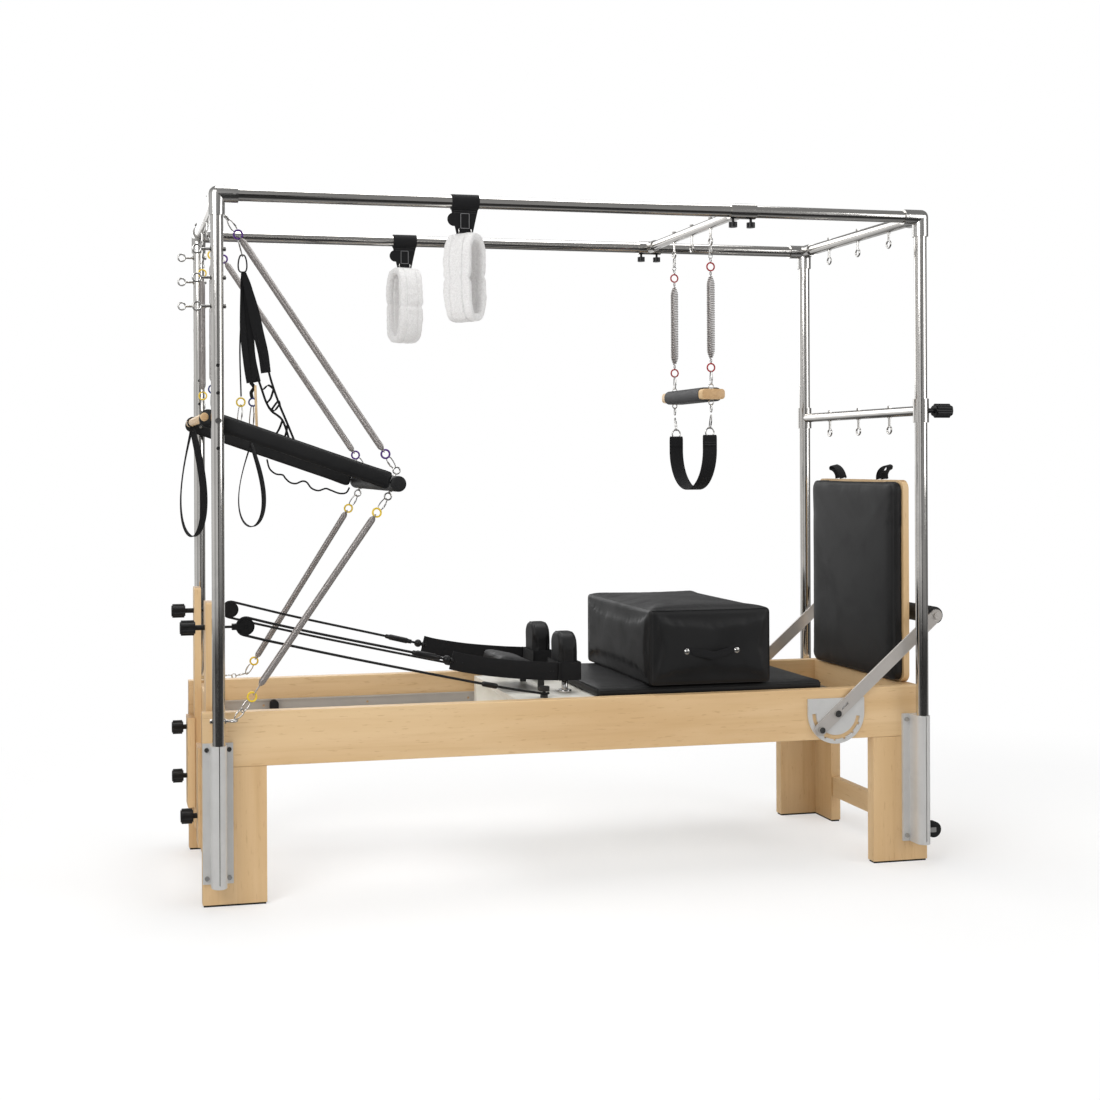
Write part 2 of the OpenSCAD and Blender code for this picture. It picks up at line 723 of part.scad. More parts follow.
// Headrest: a board on its hinge with a cushion on top, tilted up at the head side
module headrest() color(black)
    translate([headrest_hinge_x, 0, headrest_hinge_z]) rotate([0, headrest_tilt, 0]) {
        difference() {
            union() {
                translate([-headrest_l, -headrest_w/2 + 14, -6]) cube([headrest_l - 12, headrest_w - 28, 10]);
                y_rod(18, -70, 70);
                translate([-16, -70, -6]) cube([16, 140, 10]);
            }
            y_rod(8 + 2*pin_fit, -headrest_w, headrest_w);
        }
        translate([-headrest_l/2 - 18, 0, 3.8]) cushion(headrest_l, headrest_w, 40, 22, 12, 6, 2);
    }

// Shoulder rest: a post with a collar, and a pad with a round top
module shoulder_rest(y) {
    translate([shoulder_x, y, 0]) {
        translate([0, 0, deck_top - deck_thickness - 12]) cylinder(d = shoulder_post_d, h = 90);
        translate([0, 0, deck_top + seat]) cylinder(d = 44, h = 8);
        translate([-33, 0, deck_top + 122]) rotate([0, 90, 0]) cushion(152, 100, 66, 42, 12, 6, 3);
    }
}

module shoulder_rest_front() color(black) shoulder_rest(-shoulder_y);
module shoulder_rest_rear() color(black) shoulder_rest(shoulder_y);

// Rope of the near side: from its cleat, under and round the pulley, to the hand strap
sheave_r = groove_r - 0.4;
lower_run = [[-82, -237.5, 576], [-110, -237.5, 577], [-268, -236, 606], [-700, -239, 702]];
upper_run = [[-800, -227, 779], [-515, -206, 713], [-393, -197, 684]];
function sheave_at(a, lead) = [pulley_x + sheave_r*cos(a) + lead*abs(sin(a)), -riser_y,
    pulley_z + sheave_r*sin(a) - lead*abs(cos(a))];
function sheave_arc() = [for (a = [255:-15:75]) sheave_at(a, 0)];
grip_a = [-515, -206, 713];
grip_b = [-425, -199.5, 691.5];
ball_c = [-403, -197.7, 686.3];
stop_a = [-300, -235.7, 613];
stop_b = [-250, -236.1, 602.5];

module ropes() color(black) both_sides() {
    swept(concat(lower_run, [sheave_at(255, 70)], sheave_arc(), [sheave_at(75, 70)], upper_run),
        rope_d, 8);
    rod(grip_a, grip_b, 19);
    rod(stop_a, stop_b, 17);
    translate(ball_c) sphere(d = 26);
}

// Hand strap: webbing from the rope's ball to a ring of it round the shoulder rest
strap_w = 36;
strap_t = 3;
strap_z = 640;
pad_front = shoulder_x - 33;
pad_back = shoulder_x + 33;
module hand_strap() {
    band = [[-388, -195, 683], [-340, -193, 673], [-240, -190.5, 660], [-33, -189, strap_z]];
    for (i = [0:len(band) - 2]) strap_run(band[i], band[i + 1]);
    rod([-389.5, -195, 683], [-382, -195, 682], 16);
    difference() {
        translate([pad_front - 5, -shoulder_y - 53.5, strap_z - strap_w/2])
            cube([pad_back - pad_front + 9, 107, strap_w]);
        translate([pad_front - 2, -shoulder_y - 50.5, strap_z - strap_w])
            cube([pad_back - pad_front + 3, 101, 2*strap_w]);
    }
}
module strap_run(a, b) {
    v = b - a;
    l = norm(v);
    translate(a) rotate([0, acos(v[2]/l), atan2(v[1], v[0])])
        translate([-strap_w/2, -strap_t/2, 0]) cube([strap_w, strap_t, l + 0.5]);
}

module hand_straps() color(black) both_sides() hand_strap();

module sitting_box() color(black)
    translate([box_x, 0, deck_top + seat + mat_thickness + seat])
        cushion(box_length, box_width, box_height, 16, 12, 5, box_pull);

box_screw_x = 85;
box_pull = 3;
module box_handle() {
    face = box_width/2 - box_pull*0.65 + seat;
    translate([box_x, -face, deck_top + mat_thickness + 108]) {
        for (x = [-box_screw_x, box_screw_x]) translate([x, 0, 0]) y_rod(14, -6, -1);
        for (x = [-box_screw_x - 14, box_screw_x - 26]) translate([x, -3, -13]) cube([40, 3, 26]);
        translate([0, 0, -13]) linear_extrude(26)
            ribbon([for (u = [-70:14:70]) [u, -2 - 14*cos(90*u/70)]], 3);
    }
}

module box_handles() color(black) both_sides() box_handle();

// Foot end

module jump_outline(w, h, r) {
    translate([-w/2, 0]) round_rect(w, h, r);
}

module jump_board() color(maple) {
    translate([jump_x - jump_board_t/2, 0, jump_z0]) rotate([90, 0, 90])
        linear_extrude(jump_board_t) jump_outline(jump_width, jump_height, 30);
    for (y = [-peg_y, peg_y]) translate([jump_x, y, jump_z0 - 55]) cylinder(d = peg_d, h = 60);
}

module jump_pad() color(black)
    translate([jump_x - jump_board_t/2 - seat, 0, jump_z0 + jump_height/2]) rotate([0, -90, 0])
        cushion(jump_height - 4, jump_width - 4, jump_pad_t, 32, 12, 7, 2);

// Webbing loop standing on the board's top edge
module jump_loops() color(black) for (y = [-140, 140])
    translate([jump_x - 15, y, jump_z0 + jump_height + seat]) rotate([90, 0, 90]) linear_extrude(30)
        difference() {
            union() {
                scale(1) circle(d = 92);
                translate([-52, 0]) square([104, 3]);
            }
            circle(d = 86);
            translate([-60, -100]) square([120, 100]);
        }

quadrant_r = 98;
notch_angles = [-140, -117, -94, -71, -48, -25];
module footbar_plate() {
    translate([pivot_x, -half_w, pivot_z]) rotate([90, 0, 0]) linear_extrude(plate_t) difference() {
        union() {
            difference() {
                circle(r = quadrant_r);
                translate([-quadrant_r, 0]) square([2*quadrant_r, quadrant_r]);
            }
            translate([-quadrant_r, 0]) square([2*quadrant_r, 48]);
        }
        circle(d = 12 + hole_fit);
        // The arc slot that the latch pin runs in, with its notches
        difference() {
            circle(r = latch_r + latch_d/2 + 1);
            circle(r = latch_r - latch_d/2 - 1);
            translate([-quadrant_r, 0]) square([2*quadrant_r, 2*quadrant_r]);
            rotate(-8) square([quadrant_r, quadrant_r]);
        }
        for (a = notch_angles) rotate(a) translate([latch_r - 2, -4]) square([14, 8]);
    }
}

module footbar_plates() color(alu) both_sides() footbar_plate();

// Parts of the foot bar are drawn with the arm along +X from the pivot
module at_footbar() {
    translate([pivot_x, 0, pivot_z]) rotate([0, -footbar_angle, 0]) children();
}

module footbar_arms() color(alu) at_footbar() {
    both_sides() translate([0, -arm_y, 0]) rotate([90, 0, 0]) linear_extrude(arm_t) difference() {
        union() {
            translate([-latch_r, -arm_w/2]) square([latch_r + footbar_reach, arm_w]);
            translate([-latch_r, 0]) circle(d = arm_w);
            translate([footbar_reach, 0]) circle(d = arm_w);
        }
        circle(d = 12 + 2*pin_fit);
        translate([-latch_r, 0]) circle(d = latch_d + 2*pin_fit);
        translate([20, -4]) square([30, 8]);
    }
    translate([footbar_reach, 0, 0]) y_rod(25, -arm_y - 2, arm_y + 2);
    both_sides() translate([footbar_reach, 0, 0]) y_rod(22, -arm_y - arm_t - 6, -arm_y - arm_t);
}

module footbar_roll() color(black) at_footbar() translate([footbar_reach, 0, 0]) difference() {
    y_rod(footbar_roll_d, -arm_y + seat, arm_y - seat);
    y_rod(25 + 2*tube_fit, -arm_y, arm_y);
}

module footbar_latch() color(steel) at_footbar() translate([-latch_r, 0, 0]) {
    y_rod(latch_d, -arm_y - arm_t - 6, -half_w - 1);
    y_rod(20, -arm_y - arm_t - 12, -arm_y - arm_t - seat);
}

// Push-through bar, drawn with the arms along +X from the pivot

module at_push_bar() {
    translate([-post_x, 0, push_pivot_z]) rotate([0, push_angle, 0]) children();
}

module push_arms() color(black) at_push_bar() both_sides()
    translate([0, -push_arm_y, 0]) rotate([90, 0, 0]) linear_extrude(push_arm_t) difference() {
        translate([-push_tail, -arm_h/2])
            round_rect(push_tail + push_reach - push_roll_d/2 - seat, arm_h, 12);
        circle(d = pivot_pin_d + 2*pin_fit);
        translate([dowel_x, 0]) circle(d = dowel_d + 2*tube_fit);
    }

module push_rods() color(black) at_push_bar() {
    translate([push_reach, 0, 0]) y_rod(push_roll_d, -push_arm_y - push_arm_t, push_arm_y + push_arm_t);
    translate([dowel_x, 0, 0]) y_rod(dowel_d, -push_arm_y - push_arm_t - 3, push_arm_y + push_arm_t + 3);
    for (y = [-spring_eye_y, spring_eye_y]) translate([push_reach, y, 0]) {
        for (s = [0, 1]) mirror([0, 0, s]) {
            translate([0, 0, push_roll_d/2 - 3]) cylinder(d = 8, h = 10);
            translate([0, 0, roll_ring_off]) rotate([90, 0, 0]) wire_ring(roll_ring_d, 5);
        }
    }
}

// Webbing loop that hangs from the wooden dowel
dowel_strap_y = 200;
dowel_strap_w = 30;
dowel_strap_l = 365;
function dowel_place() = [-post_x + dowel_x*cos(push_angle), push_pivot_z - dowel_x*sin(push_angle)];
module push_strap() color(black)
    translate([dowel_place()[0], dowel_strap_y, dowel_place()[1]]) rotate([90, 0, 0])
        linear_extrude(dowel_strap_w, center = true) {
            difference() {
                circle(d = dowel_d + 2*tube_fit + 6);
                circle(d = dowel_d + 2*tube_fit);
            }
            translate([0, -dowel_d/2 - tube_fit]) hanging_loop(46, dowel_strap_l, 3);
        }

// Thin cord that hangs in bights under the far arm, its points given for a pivot at
// x = -1130 and z = 1426
cord_route = [[-902, 330, 1316], [-893, 330, 1284], [-872, 330, 1266], [-848, 330, 1262], [-838, 330, 1250],
    [-822, 330, 1236], [-802, 330, 1232], [-780, 330, 1240], [-764, 330, 1236], [-748, 330, 1216],
    [-724, 330, 1207], [-698, 330, 1214], [-680, 330, 1208], [-650, 330, 1197], [-626, 330, 1199],
    [-614, 330, 1217]];
module push_cords() color(black) translate([1130 - post_x, 0, push_pivot_z - 1426])
    swept(cord_route, 6, 8);

// A long spring between points a and b: rings, hooks and a close-wound body
module long_spring(a, b, body_d, ring_d) {
    v = b - a;
    l = norm(v);
    translate(a) rotate([0, acos(v[2]/l), atan2(v[1], v[0])]) {
        cylinder(d = 4, h = 34);
        translate([0, 0, 32 + ring_d/2]) rotate([90, 0, 0]) wire_ring(ring_d, 5);
        translate([0, 0, 30 + ring_d]) cylinder(d1 = body_d*0.55, d2 = body_d, h = 26);
        translate([0, 0, 56 + ring_d]) cylinder(d = body_d, h = l - 2*(56 + ring_d));
        translate([0, 0, l - 56 - ring_d]) cylinder(d1 = body_d, d2 = body_d*0.55, h = 26);
        translate([0, 0, l - 32 - ring_d/2]) rotate([90, 0, 0]) wire_ring(ring_d, 5);
        translate([0, 0, l - 34]) cylinder(d = 4, h = 34);
    }
}

// Point of the push-through bar's roll, off its axis by dz, at a distance y from the middle
function roll_point(y, dz) = [-post_x + push_reach*cos(push_angle) + dz*sin(push_angle), y,
    push_pivot_z - push_reach*sin(push_angle) + dz*cos(push_angle)];

roll_ring_d = 26;
roll_ring_off = push_roll_d/2 + 18;
module push_springs() color(steel) {
    both_sides() upper_spring();
    lower_spring([28, 5, 28]);
    mirror([0, 1, 0]) lower_spring([116, 15, 28]);
}

module upper_spring() {
    upper_eye = [-post_x + eye_drop*sin(spring_eye_lean), -spring_eye_y,
        canopy_height - eye_drop*cos(spring_eye_lean)];
    upper_ring = roll_point(-spring_eye_y, roll_ring_off);
    eye_axis = [cos(spring_eye_lean), 0, sin(spring_eye_lean)];
    long_spring(hooked(upper_eye, upper_ring, eye_axis, eye_ring_d, eye_wire),
        hooked(upper_ring, upper_eye, [0, 1, 0], roll_ring_d, 5), long_spring_d, 32);
}

// Lower spring with the chain at its eye: a short one at the near side, a long slack one at the far side
module lower_spring(chain) {
    lower_eye = [-post_x + 42, -post_y, low_eye_z];
    lower_ring = roll_point(-spring_eye_y, -roll_ring_off);
    link = lower_eye + chain;
    from = hooked(lower_eye, link, [0, 0, 1], eye_ring_d, eye_wire);
    rod(from, link, 5);
    long_spring(link, hooked(lower_ring, link, [0, 1, 0], roll_ring_d, 5), long_spring_d, 32);
}

// Sliding cross bar with the trapeze

module slide_bar() color(steel) translate([slide_bar_x, 0, canopy_height]) {
    sleeve_l = 86;
    difference() {
        union() {
            y_rod(bar_d, -post_y + tube_d/2 + 4, post_y - tube_d/2 - 4);
            both_sides() translate([0, -post_y, 0]) {
                x_rod(elbow_d, -sleeve_l/2, sleeve_l/2);
                y_rod(bar_d + 8, 0, 60);
            }
        }
        both_sides() translate([0, -post_y, 0]) x_rod(tube_d + 2*tube_fit, -post_x, post_x);
        y_rod(bar_d - 2*tube_wall, -post_y + tube_d/2 + 8, post_y - tube_d/2 - 8);
    }
    for (y = slide_eyes) translate([0, y, 0]) eyebolt(bar_d - 2*seat, eye_drop);
}

// Clamp knobs under the sleeves
module slide_knobs() color(black) translate([slide_bar_x, 0, canopy_height])
    both_sides() for (x = [-30, 30]) translate([x, -post_y, 0]) {
        translate([0, 0, -elbow_d/2 - 12]) cylinder(d = 8, h = 12 - seat);
        translate([0, 0, -elbow_d/2 - 26]) cylinder(d = 26, h = 16);
    }

// Unbroken tube of a spring's curls, with straight ends along the axis
coil_rings = 8;
coil_r = (trapeze_spring_d - trapeze_wire)/2;
coil_pitch = trapeze_spring_l/trapeze_curls;
coil_lead = trapeze_wire + 0.6;
function coil_curls() = [for (i = [0:trapeze_curls*coil_rings]) let (t = i/coil_rings,
    taper = min(1, 0.35 + 0.3*min(t, trapeze_curls - t)))
    [coil_r*taper*cos(360*t), coil_r*taper*sin(360*t), -coil_pitch*t]];
function coil_path() = concat([[0, 0, 2*coil_lead], [0, 0, coil_lead]], coil_curls(),
    [[0, 0, -trapeze_spring_l - coil_lead], [0, 0, -trapeze_spring_l - 2*coil_lead]]);
coil_gap = min([for (i = [0:coil_rings/2:4*coil_rings])
    norm(coil_curls()[i] - coil_curls()[i + coil_rings])]) - trapeze_wire;
echo(trapeze_spring_least_gap = coil_gap);

// Tube of the coil: its rings stand square to the wire
module coil() {
    path = coil_path();
    n = len(path);
    pts = [for (i = [0:n - 1]) let (t = path_dir(path, i, false),
        out = norm([path[i][0], path[i][1]]) > 1 ? unit([path[i][0], path[i][1], 0]) : [1, 0, 0],
        a = unit(out - t*(out*t)), b = cross(t, a))
        for (k = [0:5]) path[i] + trapeze_wire/2*(cos(60*k)*a + sin(60*k)*b)];
    walls = [for (i = [0:n - 2], k = [0:5]) let (j = (k + 1)%6)
        each [[i*6 + k, (i + 1)*6 + j, i*6 + j], [i*6 + k, (i + 1)*6 + k, (i + 1)*6 + j]]];
    polyhedron(points = pts, faces = concat(walls, [[for (k = [0:5]) k]],
        [[for (k = [5:-1:0]) (n - 1)*6 + k]]), convexity = 20);
}

// Rings above and below each spring
trapeze_ring_d = 31;
trapeze_ring_z = trapeze_top - 5;
coil_top = trapeze_ring_z - trapeze_ring_d/2 - seat - 2*coil_lead;
low_ring_z = coil_top - trapeze_spring_l - 2*coil_lead - seat - trapeze_ring_d/2;

module trapeze_springs() color(steel) for (y = [-trapeze_y, trapeze_y])
    translate([slide_bar_x, y, coil_top]) coil();

// Hooks from the sliding bar's eyes, with the springs' upper rings
module trapeze_hooks() color(red) for (y = [-trapeze_y, trapeze_y]) translate([slide_bar_x, y, 0]) {
    translate([0, 0, trapeze_ring_z]) rotate([90, 0, 0]) wire_ring(trapeze_ring_d, 5);
    translate([0, 0, trapeze_top + 8]) cylinder(d = 5, h = canopy_height - eye_drop - eye_ring_d/2
        - trapeze_top - 8 - seat);
}

// Trapeze bar: a flat board hung from rings, with the rings of the sling below
module trapeze_bar() color(black) {
    translate([slide_bar_x - trapeze_bar_w/2, -trapeze_bar_l/2, trapeze_bar_z - trapeze_bar_t/2])
        translate([0, trapeze_bar_l, 0]) rotate([90, 0, 0]) linear_extrude(trapeze_bar_l)
            round_rect(trapeze_bar_w, trapeze_bar_t, 12);
    for (y = [-trapeze_y, trapeze_y]) translate([slide_bar_x, y, 0]) {
        translate([0, 0, low_ring_z]) rotate([90, 0, 0]) wire_ring(trapeze_ring_d, 5);
        translate([0, 0, trapeze_bar_z]) cylinder(d = 6, h = low_ring_z - trapeze_ring_d/2 + 2.5
            - trapeze_bar_z);
        translate([0, 0, trapeze_bar_z - 44]) cylinder(d = 6, h = 30);
        translate([0, 0, trapeze_bar_z - 56]) rotate([90, 0, 0]) wire_ring(28, 5);
    }
}

// Sling: a webbing strap in a U under the bar, on two links
module trapeze_sling() color(black) {
    r = sling_y + 6;
    translate([slide_bar_x - sling_w/2, 0, sling_bottom + r]) rotate([90, 0, 90])
        linear_extrude(sling_w) difference() {
            union() {
                circle(r = r);
                translate([-r, 0]) square([2*r, sling_top - sling_bottom - r]);
            }
            circle(r = r - sling_t);
            translate([-r + sling_t, 0]) square([2*(r - sling_t), 400]);
        }
    for (y = [-1, 1]) translate([slide_bar_x, y*(r - sling_t/2), sling_top - 8]) {
        translate([0, 0, 22]) rotate([90, 0, 0]) wire_ring(34, 5);
        rod([0, 0, 36], [0, -y*(r - sling_t/2 - trapeze_y), trapeze_bar_z - 71 - sling_top + 8], 5);
    }
}

// Fleece loops on the top rails, each with its strap
fleece_x = [-386, -406];
module fleece_loop(x, y, turn, w) translate([x, y, canopy_height]) {
    translate([0, 0, -227]) rotate([0, 0, turn]) fleece_band(w, 134, 27, 93);
    rotate([90, 0, 90]) linear_extrude(84, center = true) difference() {
        circle(d = tube_d + 2*seat + 8);
        circle(d = tube_d + 2*seat);
    }
    rotate([90, 0, 0]) linear_extrude(6, center = true)
        polygon([[-42, -tube_d/2 - 1.5], [42, -tube_d/2 - 1.5], [24, -95], [-24, -95]]);
}

module fleece_loop_front() color(fleece) fleece_loop(fleece_x[0], -post_y, 46, 60);
module fleece_loop_rear() color(fleece) fleece_loop(fleece_x[1], post_y, 107, 64.1);

// Adjustable cross bar between the foot end posts

module lower_bar() color(steel) translate([post_x, 0, lower_bar_z]) {
    sleeve_l = 76;
    difference() {
        union() {
            y_rod(bar_d, -post_y, post_y);
            both_sides() translate([0, -post_y, -sleeve_l/2]) cylinder(d = elbow_d, h = sleeve_l);
        }
        both_sides() translate([0, -post_y, -sleeve_l]) cylinder(d = tube_d + 2*tube_fit, h = 2*sleeve_l);
        y_rod(bar_d - 2*tube_wall, -post_y + tube_d/2 + 8, post_y - tube_d/2 - 8);
        translate([0, -post_y, 0]) x_rod(8 + 2*pin_fit, 0, elbow_d);
    }
    for (y = foot_eyes) translate([0, y, 0]) eyebolt(bar_d - 2*seat, eye_drop);
}

module lower_bar_knob() color(black) translate([post_x + elbow_d/2 + seat, -post_y, lower_bar_z]) {
    mirror([1, 0, 0]) star_knob(22, 22 + lower_knob_l, 0);
    x_rod(8, -4, 10);
}

// Gear that hangs at the head end

module hanging_spring(x, y, z0, z1) {
    translate([x, y, 0]) {
        translate([0, 0, z1 - 15]) rotate([90, 0, 0]) wire_ring(30, 5);
        translate([0, 0, z1 - 56]) cylinder(d1 = 16, d2 = 7, h = 28);
        translate([0, 0, z0 + 64]) cylinder(d1 = 19, d2 = 16, h = z1 - z0 - 120);
        translate([0, 0, z0 + 40]) cylinder(d1 = 8, d2 = 19, h = 24);
        translate([0, 0, z0 + 27]) rotate([90, 0, 0]) wire_ring(30, 5);
        translate([0, 0, z0 - 30]) cylinder(d = 6, h = 44);
    }
}

eye_low = canopy_height - eye_drop - eye_ring_d/2;
module hanging_springs() color(steel) {
    for (y = [-205, 205]) translate([-post_x, y, eye_low - 66]) {
        cylinder(d = 5, h = 66 - seat);
        translate([0, 0, -0.5]) cylinder(d = 5, h = 1);
    }
    hanging_spring(-post_x, -205, canopy_height - 585, eye_low - 66 + 2);
    hanging_spring(-post_x, 205, canopy_height - 585, eye_low - 66 + 2);
}

// Harness: webbing folded flat that hangs from the ring of the near spring. Its pieces
// lie in one upright plane, and their points are given as X and Z for a post axis at
// x = -1130 and a rail axis at z = 2085, from where the whole harness is moved.
harness_y = -230;
harness_t = 12;
harness_band = [[-1052, 1880], [-1030, 1884], [-1014, 1836], [-988, 1704], [-972, 1628], [-962, 1562],
    [-982, 1530], [-1020, 1534], [-1030, 1600], [-1041, 1700], [-1043, 1824]];
net = [
    [[-968, 1610], [-948, 1528], [-930, 1478], [-905, 1418], [-877, 1352]],
    [[-985, 1540], [-972, 1490], [-962, 1463], [-922, 1433], [-900, 1373]],
    [[-948, 1528], [-978, 1528]],
    [[-930, 1478], [-962, 1463]],
    [[-922, 1433], [-946, 1380]],
    [[-905, 1418], [-930, 1350]]];
left_strand = [[-1041, 1834], [-1050, 1640], [-1047, 1500]];
handle_x = -1016;
handle_top = 1364;

module flat_piece(y, t) {
    translate([0, y + t/2, 0]) rotate([90, 0, 0]) linear_extrude(t) children();
}

module harness() color(black) translate([1130 - post_x, 0, canopy_height - 2085]) {
    flat_piece(harness_y, harness_t) polygon(harness_band);
    for (p = net) flat_piece(harness_y, 8) ribbon(p, 7);
    flat_piece(harness_y, 4) ribbon(left_strand, 4);
    translate([-1041, harness_y, 1903]) rotate([90, 0, 0]) wire_ring(52, 5);
    rod([-1041, harness_y, 1926], [-1056, -250, 1971.7], 4);
    translate([-1048, harness_y, 1487]) rotate([90, 0, 0]) wire_ring(30, 5);
    rod([-1048, harness_y, 1476], [-1053, harness_y, 1427], 6);
    translate([-1012, harness_y, 1487]) rotate([90, 0, 0]) wire_ring(28, 5);
    rod([-1014, harness_y, 1540], [-1013, harness_y, 1497], 9);
    rod([-1004, harness_y, 1536], [-1000, harness_y, 1410], 9);
    rod([-1013, harness_y, 1476], [handle_x, -216, handle_top - 2], 6);
    flat_piece(-216, 26) translate([handle_x, handle_top]) hanging_loop(46, 254, 3);
}

// Transport wheels on the foot end
transport_y = half_w - 21;
transport_z = 95;
transport_d = 52;
transport_x = half_l + 7 + transport_d/2;
module transport_wheels() color(black) both_sides()
    translate([transport_x, -transport_y, transport_z]) difference() {
        y_rod(transport_d, -9.5, 9.5);
        y_rod(8 + 2*pin_fit, -20, 20);
    }

side_rails();
cross_rails();
legs_head();
legs_foot();
leg_stretchers();
foot_pads();
carriage_tracks();
track_stops();
post_brackets();
frame_screws();
posts();
top_rails();
top_bars();
corner_elbows();
canopy_eyebolts();
risers();
pulley_blocks();
pulley_wheel_front();
pulley_wheel_rear();
riser_knob_front();
riser_knob_rear();
clamp_knobs();
spring_bar();
reformer_springs();
carriage_frame();
carriage_wheels_head();
carriage_wheels_foot();
carriage_mat();
headrest();
shoulder_rest_front();
shoulder_rest_rear();
ropes();
hand_straps();
sitting_box();
box_handles();
jump_board();
jump_pad();
jump_loops();
footbar_plates();
footbar_arms();
footbar_roll();
footbar_latch();
push_arms();
push_rods();
push_strap();
push_cords();
push_springs();
slide_bar();
slide_knobs();
trapeze_springs();
trapeze_hooks();
trapeze_bar();
trapeze_sling();
fleece_loop_front();
fleece_loop_rear();
lower_bar();
lower_bar_knob();
hanging_springs();
harness();
transport_wheels();
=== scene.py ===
import bpy
import numpy as np
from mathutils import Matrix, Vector
from mathutils.bvhtree import BVHTree


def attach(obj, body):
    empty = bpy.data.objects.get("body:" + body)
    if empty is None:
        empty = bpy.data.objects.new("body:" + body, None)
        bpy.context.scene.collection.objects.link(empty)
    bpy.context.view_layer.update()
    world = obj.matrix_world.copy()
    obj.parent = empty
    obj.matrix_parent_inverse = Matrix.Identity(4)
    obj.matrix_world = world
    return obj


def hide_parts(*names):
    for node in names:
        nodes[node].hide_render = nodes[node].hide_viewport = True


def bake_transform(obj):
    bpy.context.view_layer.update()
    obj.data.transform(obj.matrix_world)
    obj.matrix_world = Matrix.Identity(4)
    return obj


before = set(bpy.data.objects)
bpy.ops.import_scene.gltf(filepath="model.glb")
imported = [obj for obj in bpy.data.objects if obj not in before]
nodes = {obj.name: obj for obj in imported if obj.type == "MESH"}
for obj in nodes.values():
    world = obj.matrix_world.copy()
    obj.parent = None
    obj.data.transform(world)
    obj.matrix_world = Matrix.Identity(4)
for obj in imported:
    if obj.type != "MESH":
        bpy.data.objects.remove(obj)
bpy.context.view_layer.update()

toMetres = 0.001  # the pieces' sizes below are in millimetres, and their meshes in metres
fullTurn = 2 * np.pi
tower = {"postX": 1130, "postY": 370, "railZ": 2085}  # axes of the posts and of the top rails
print("frame loaded:", len(nodes), "nodes")


# Camera: it stands off the near side, left of the middle, and looks straight ahead

view = {"place": (-1.466, -4.352, 1.302), "turn": (90.0, 0.24, -11.05), "lens": 44.77,
        "shift": (0.1664, -0.0791)}
camera = bpy.data.objects.new("camera", bpy.data.cameras.new("camera"))
bpy.context.scene.collection.objects.link(camera)
camera.location = view["place"]
camera.rotation_euler = np.radians(view["turn"])
camera.data.sensor_width = 36
camera.data.lens = view["lens"]
camera.data.shift_x, camera.data.shift_y = view["shift"]
bpy.context.scene.camera = camera


# Shader maths: a wire is one output of a node, and Python sums on it add Math nodes

class Wire:
    def __init__(self, graph, socket):
        self.graph = graph
        self.socket = socket

    def maths(self, operation, *values):
        return self.graph.add("ShaderNodeMath", {"operation": operation}, dict(enumerate(values)))

    def __add__(self, other):
        return self.maths("ADD", self, other)

    def __sub__(self, other):
        return self.maths("SUBTRACT", self, other)

    def __rsub__(self, other):
        return self.maths("SUBTRACT", other, self)

    def __mul__(self, other):
        return self.maths("MULTIPLY", self, other)

    def __gt__(self, other):
        return self.maths("GREATER_THAN", self, other)

    def __abs__(self):
        return self.maths("ABSOLUTE", self)

    __radd__ = __add__
    __rmul__ = __mul__

    def sine(self):
        return self.maths("SINE", self)

    def atLeast(self, other):
        return self.maths("MAXIMUM", self, other)

    def upTo(self, low, high):
        return self.graph.add("ShaderNodeMapRange", {"interpolation_type": "SMOOTHSTEP"},
                              {"Value": self, "From Min": low, "From Max": high})


class Graph:
    def __init__(self, tree):
        self.tree = tree

    def feed(self, socket, value):
        if isinstance(value, Wire):
            self.tree.links.new(value.socket, socket)
        else:
            socket.default_value = value

    def add(self, kind, settings=None, inputs=None, output=0):
        node = self.tree.nodes.new(kind)
        for key, value in (settings or {}).items():
            setattr(node, key, value)
        for key, value in (inputs or {}).items():
            self.feed(node.inputs[key], value)
        return Wire(self, node.outputs[output])

    def spot(self, scale=(1, 1, 1), shift=(0, 0, 0), turn=(0, 0, 0)):
        where = self.add("ShaderNodeTexCoord", output=3)
        return self.add("ShaderNodeMapping", {}, {"Vector": where, "Scale": scale, "Location": shift,
                                                  "Rotation": turn})

    def split(self, where):
        node = self.add("ShaderNodeSeparateXYZ", {}, {"Vector": where}).socket.node
        return [Wire(self, socket) for socket in node.outputs]

    def flat(self):
        return self.split(self.add("ShaderNodeTexCoord", output=2))[:2]

    def noise(self, where, scale, detail=3.0, roughness=0.5, distortion=0.0):
        return self.add("ShaderNodeTexNoise", {}, {"Vector": where, "Scale": scale, "Detail": detail,
                                                   "Roughness": roughness, "Distortion": distortion})

    def cells(self, where, scale):
        return self.add("ShaderNodeTexVoronoi", {}, {"Vector": where, "Scale": scale})

    def mix(self, factor, low, high):
        return self.add("ShaderNodeMix", {"data_type": "RGBA"}, {0: factor, 6: low, 7: high}, 2)


class Finish(Graph):
    def __init__(self, name, constants):
        self.material = bpy.data.materials.new(name)
        self.material.use_nodes = True
        super().__init__(self.material.node_tree)
        self.shader = self.tree.nodes["Principled BSDF"]
        self.relief = None
        for key, value in constants.items():
            self.feed(self.shader.inputs[key], value)

    def set(self, key, value):
        self.feed(self.shader.inputs[key], value)

    def bump(self, height, distance, strength=1.0):
        inputs = {"Height": height, "Distance": distance, "Strength": strength}
        if self.relief:
            inputs["Normal"] = self.relief
        self.relief = self.add("ShaderNodeBump", {}, inputs)
        self.set("Normal", self.relief)


def tone(red, green, blue):  # a colour as it is seen on screen, from 0 to 255
    value = np.array([red, green, blue]) / 255
    return (*np.where(value <= 0.04045, value / 12.92, ((value + 0.055) / 1.055) ** 2.4), 1)


# Finishes

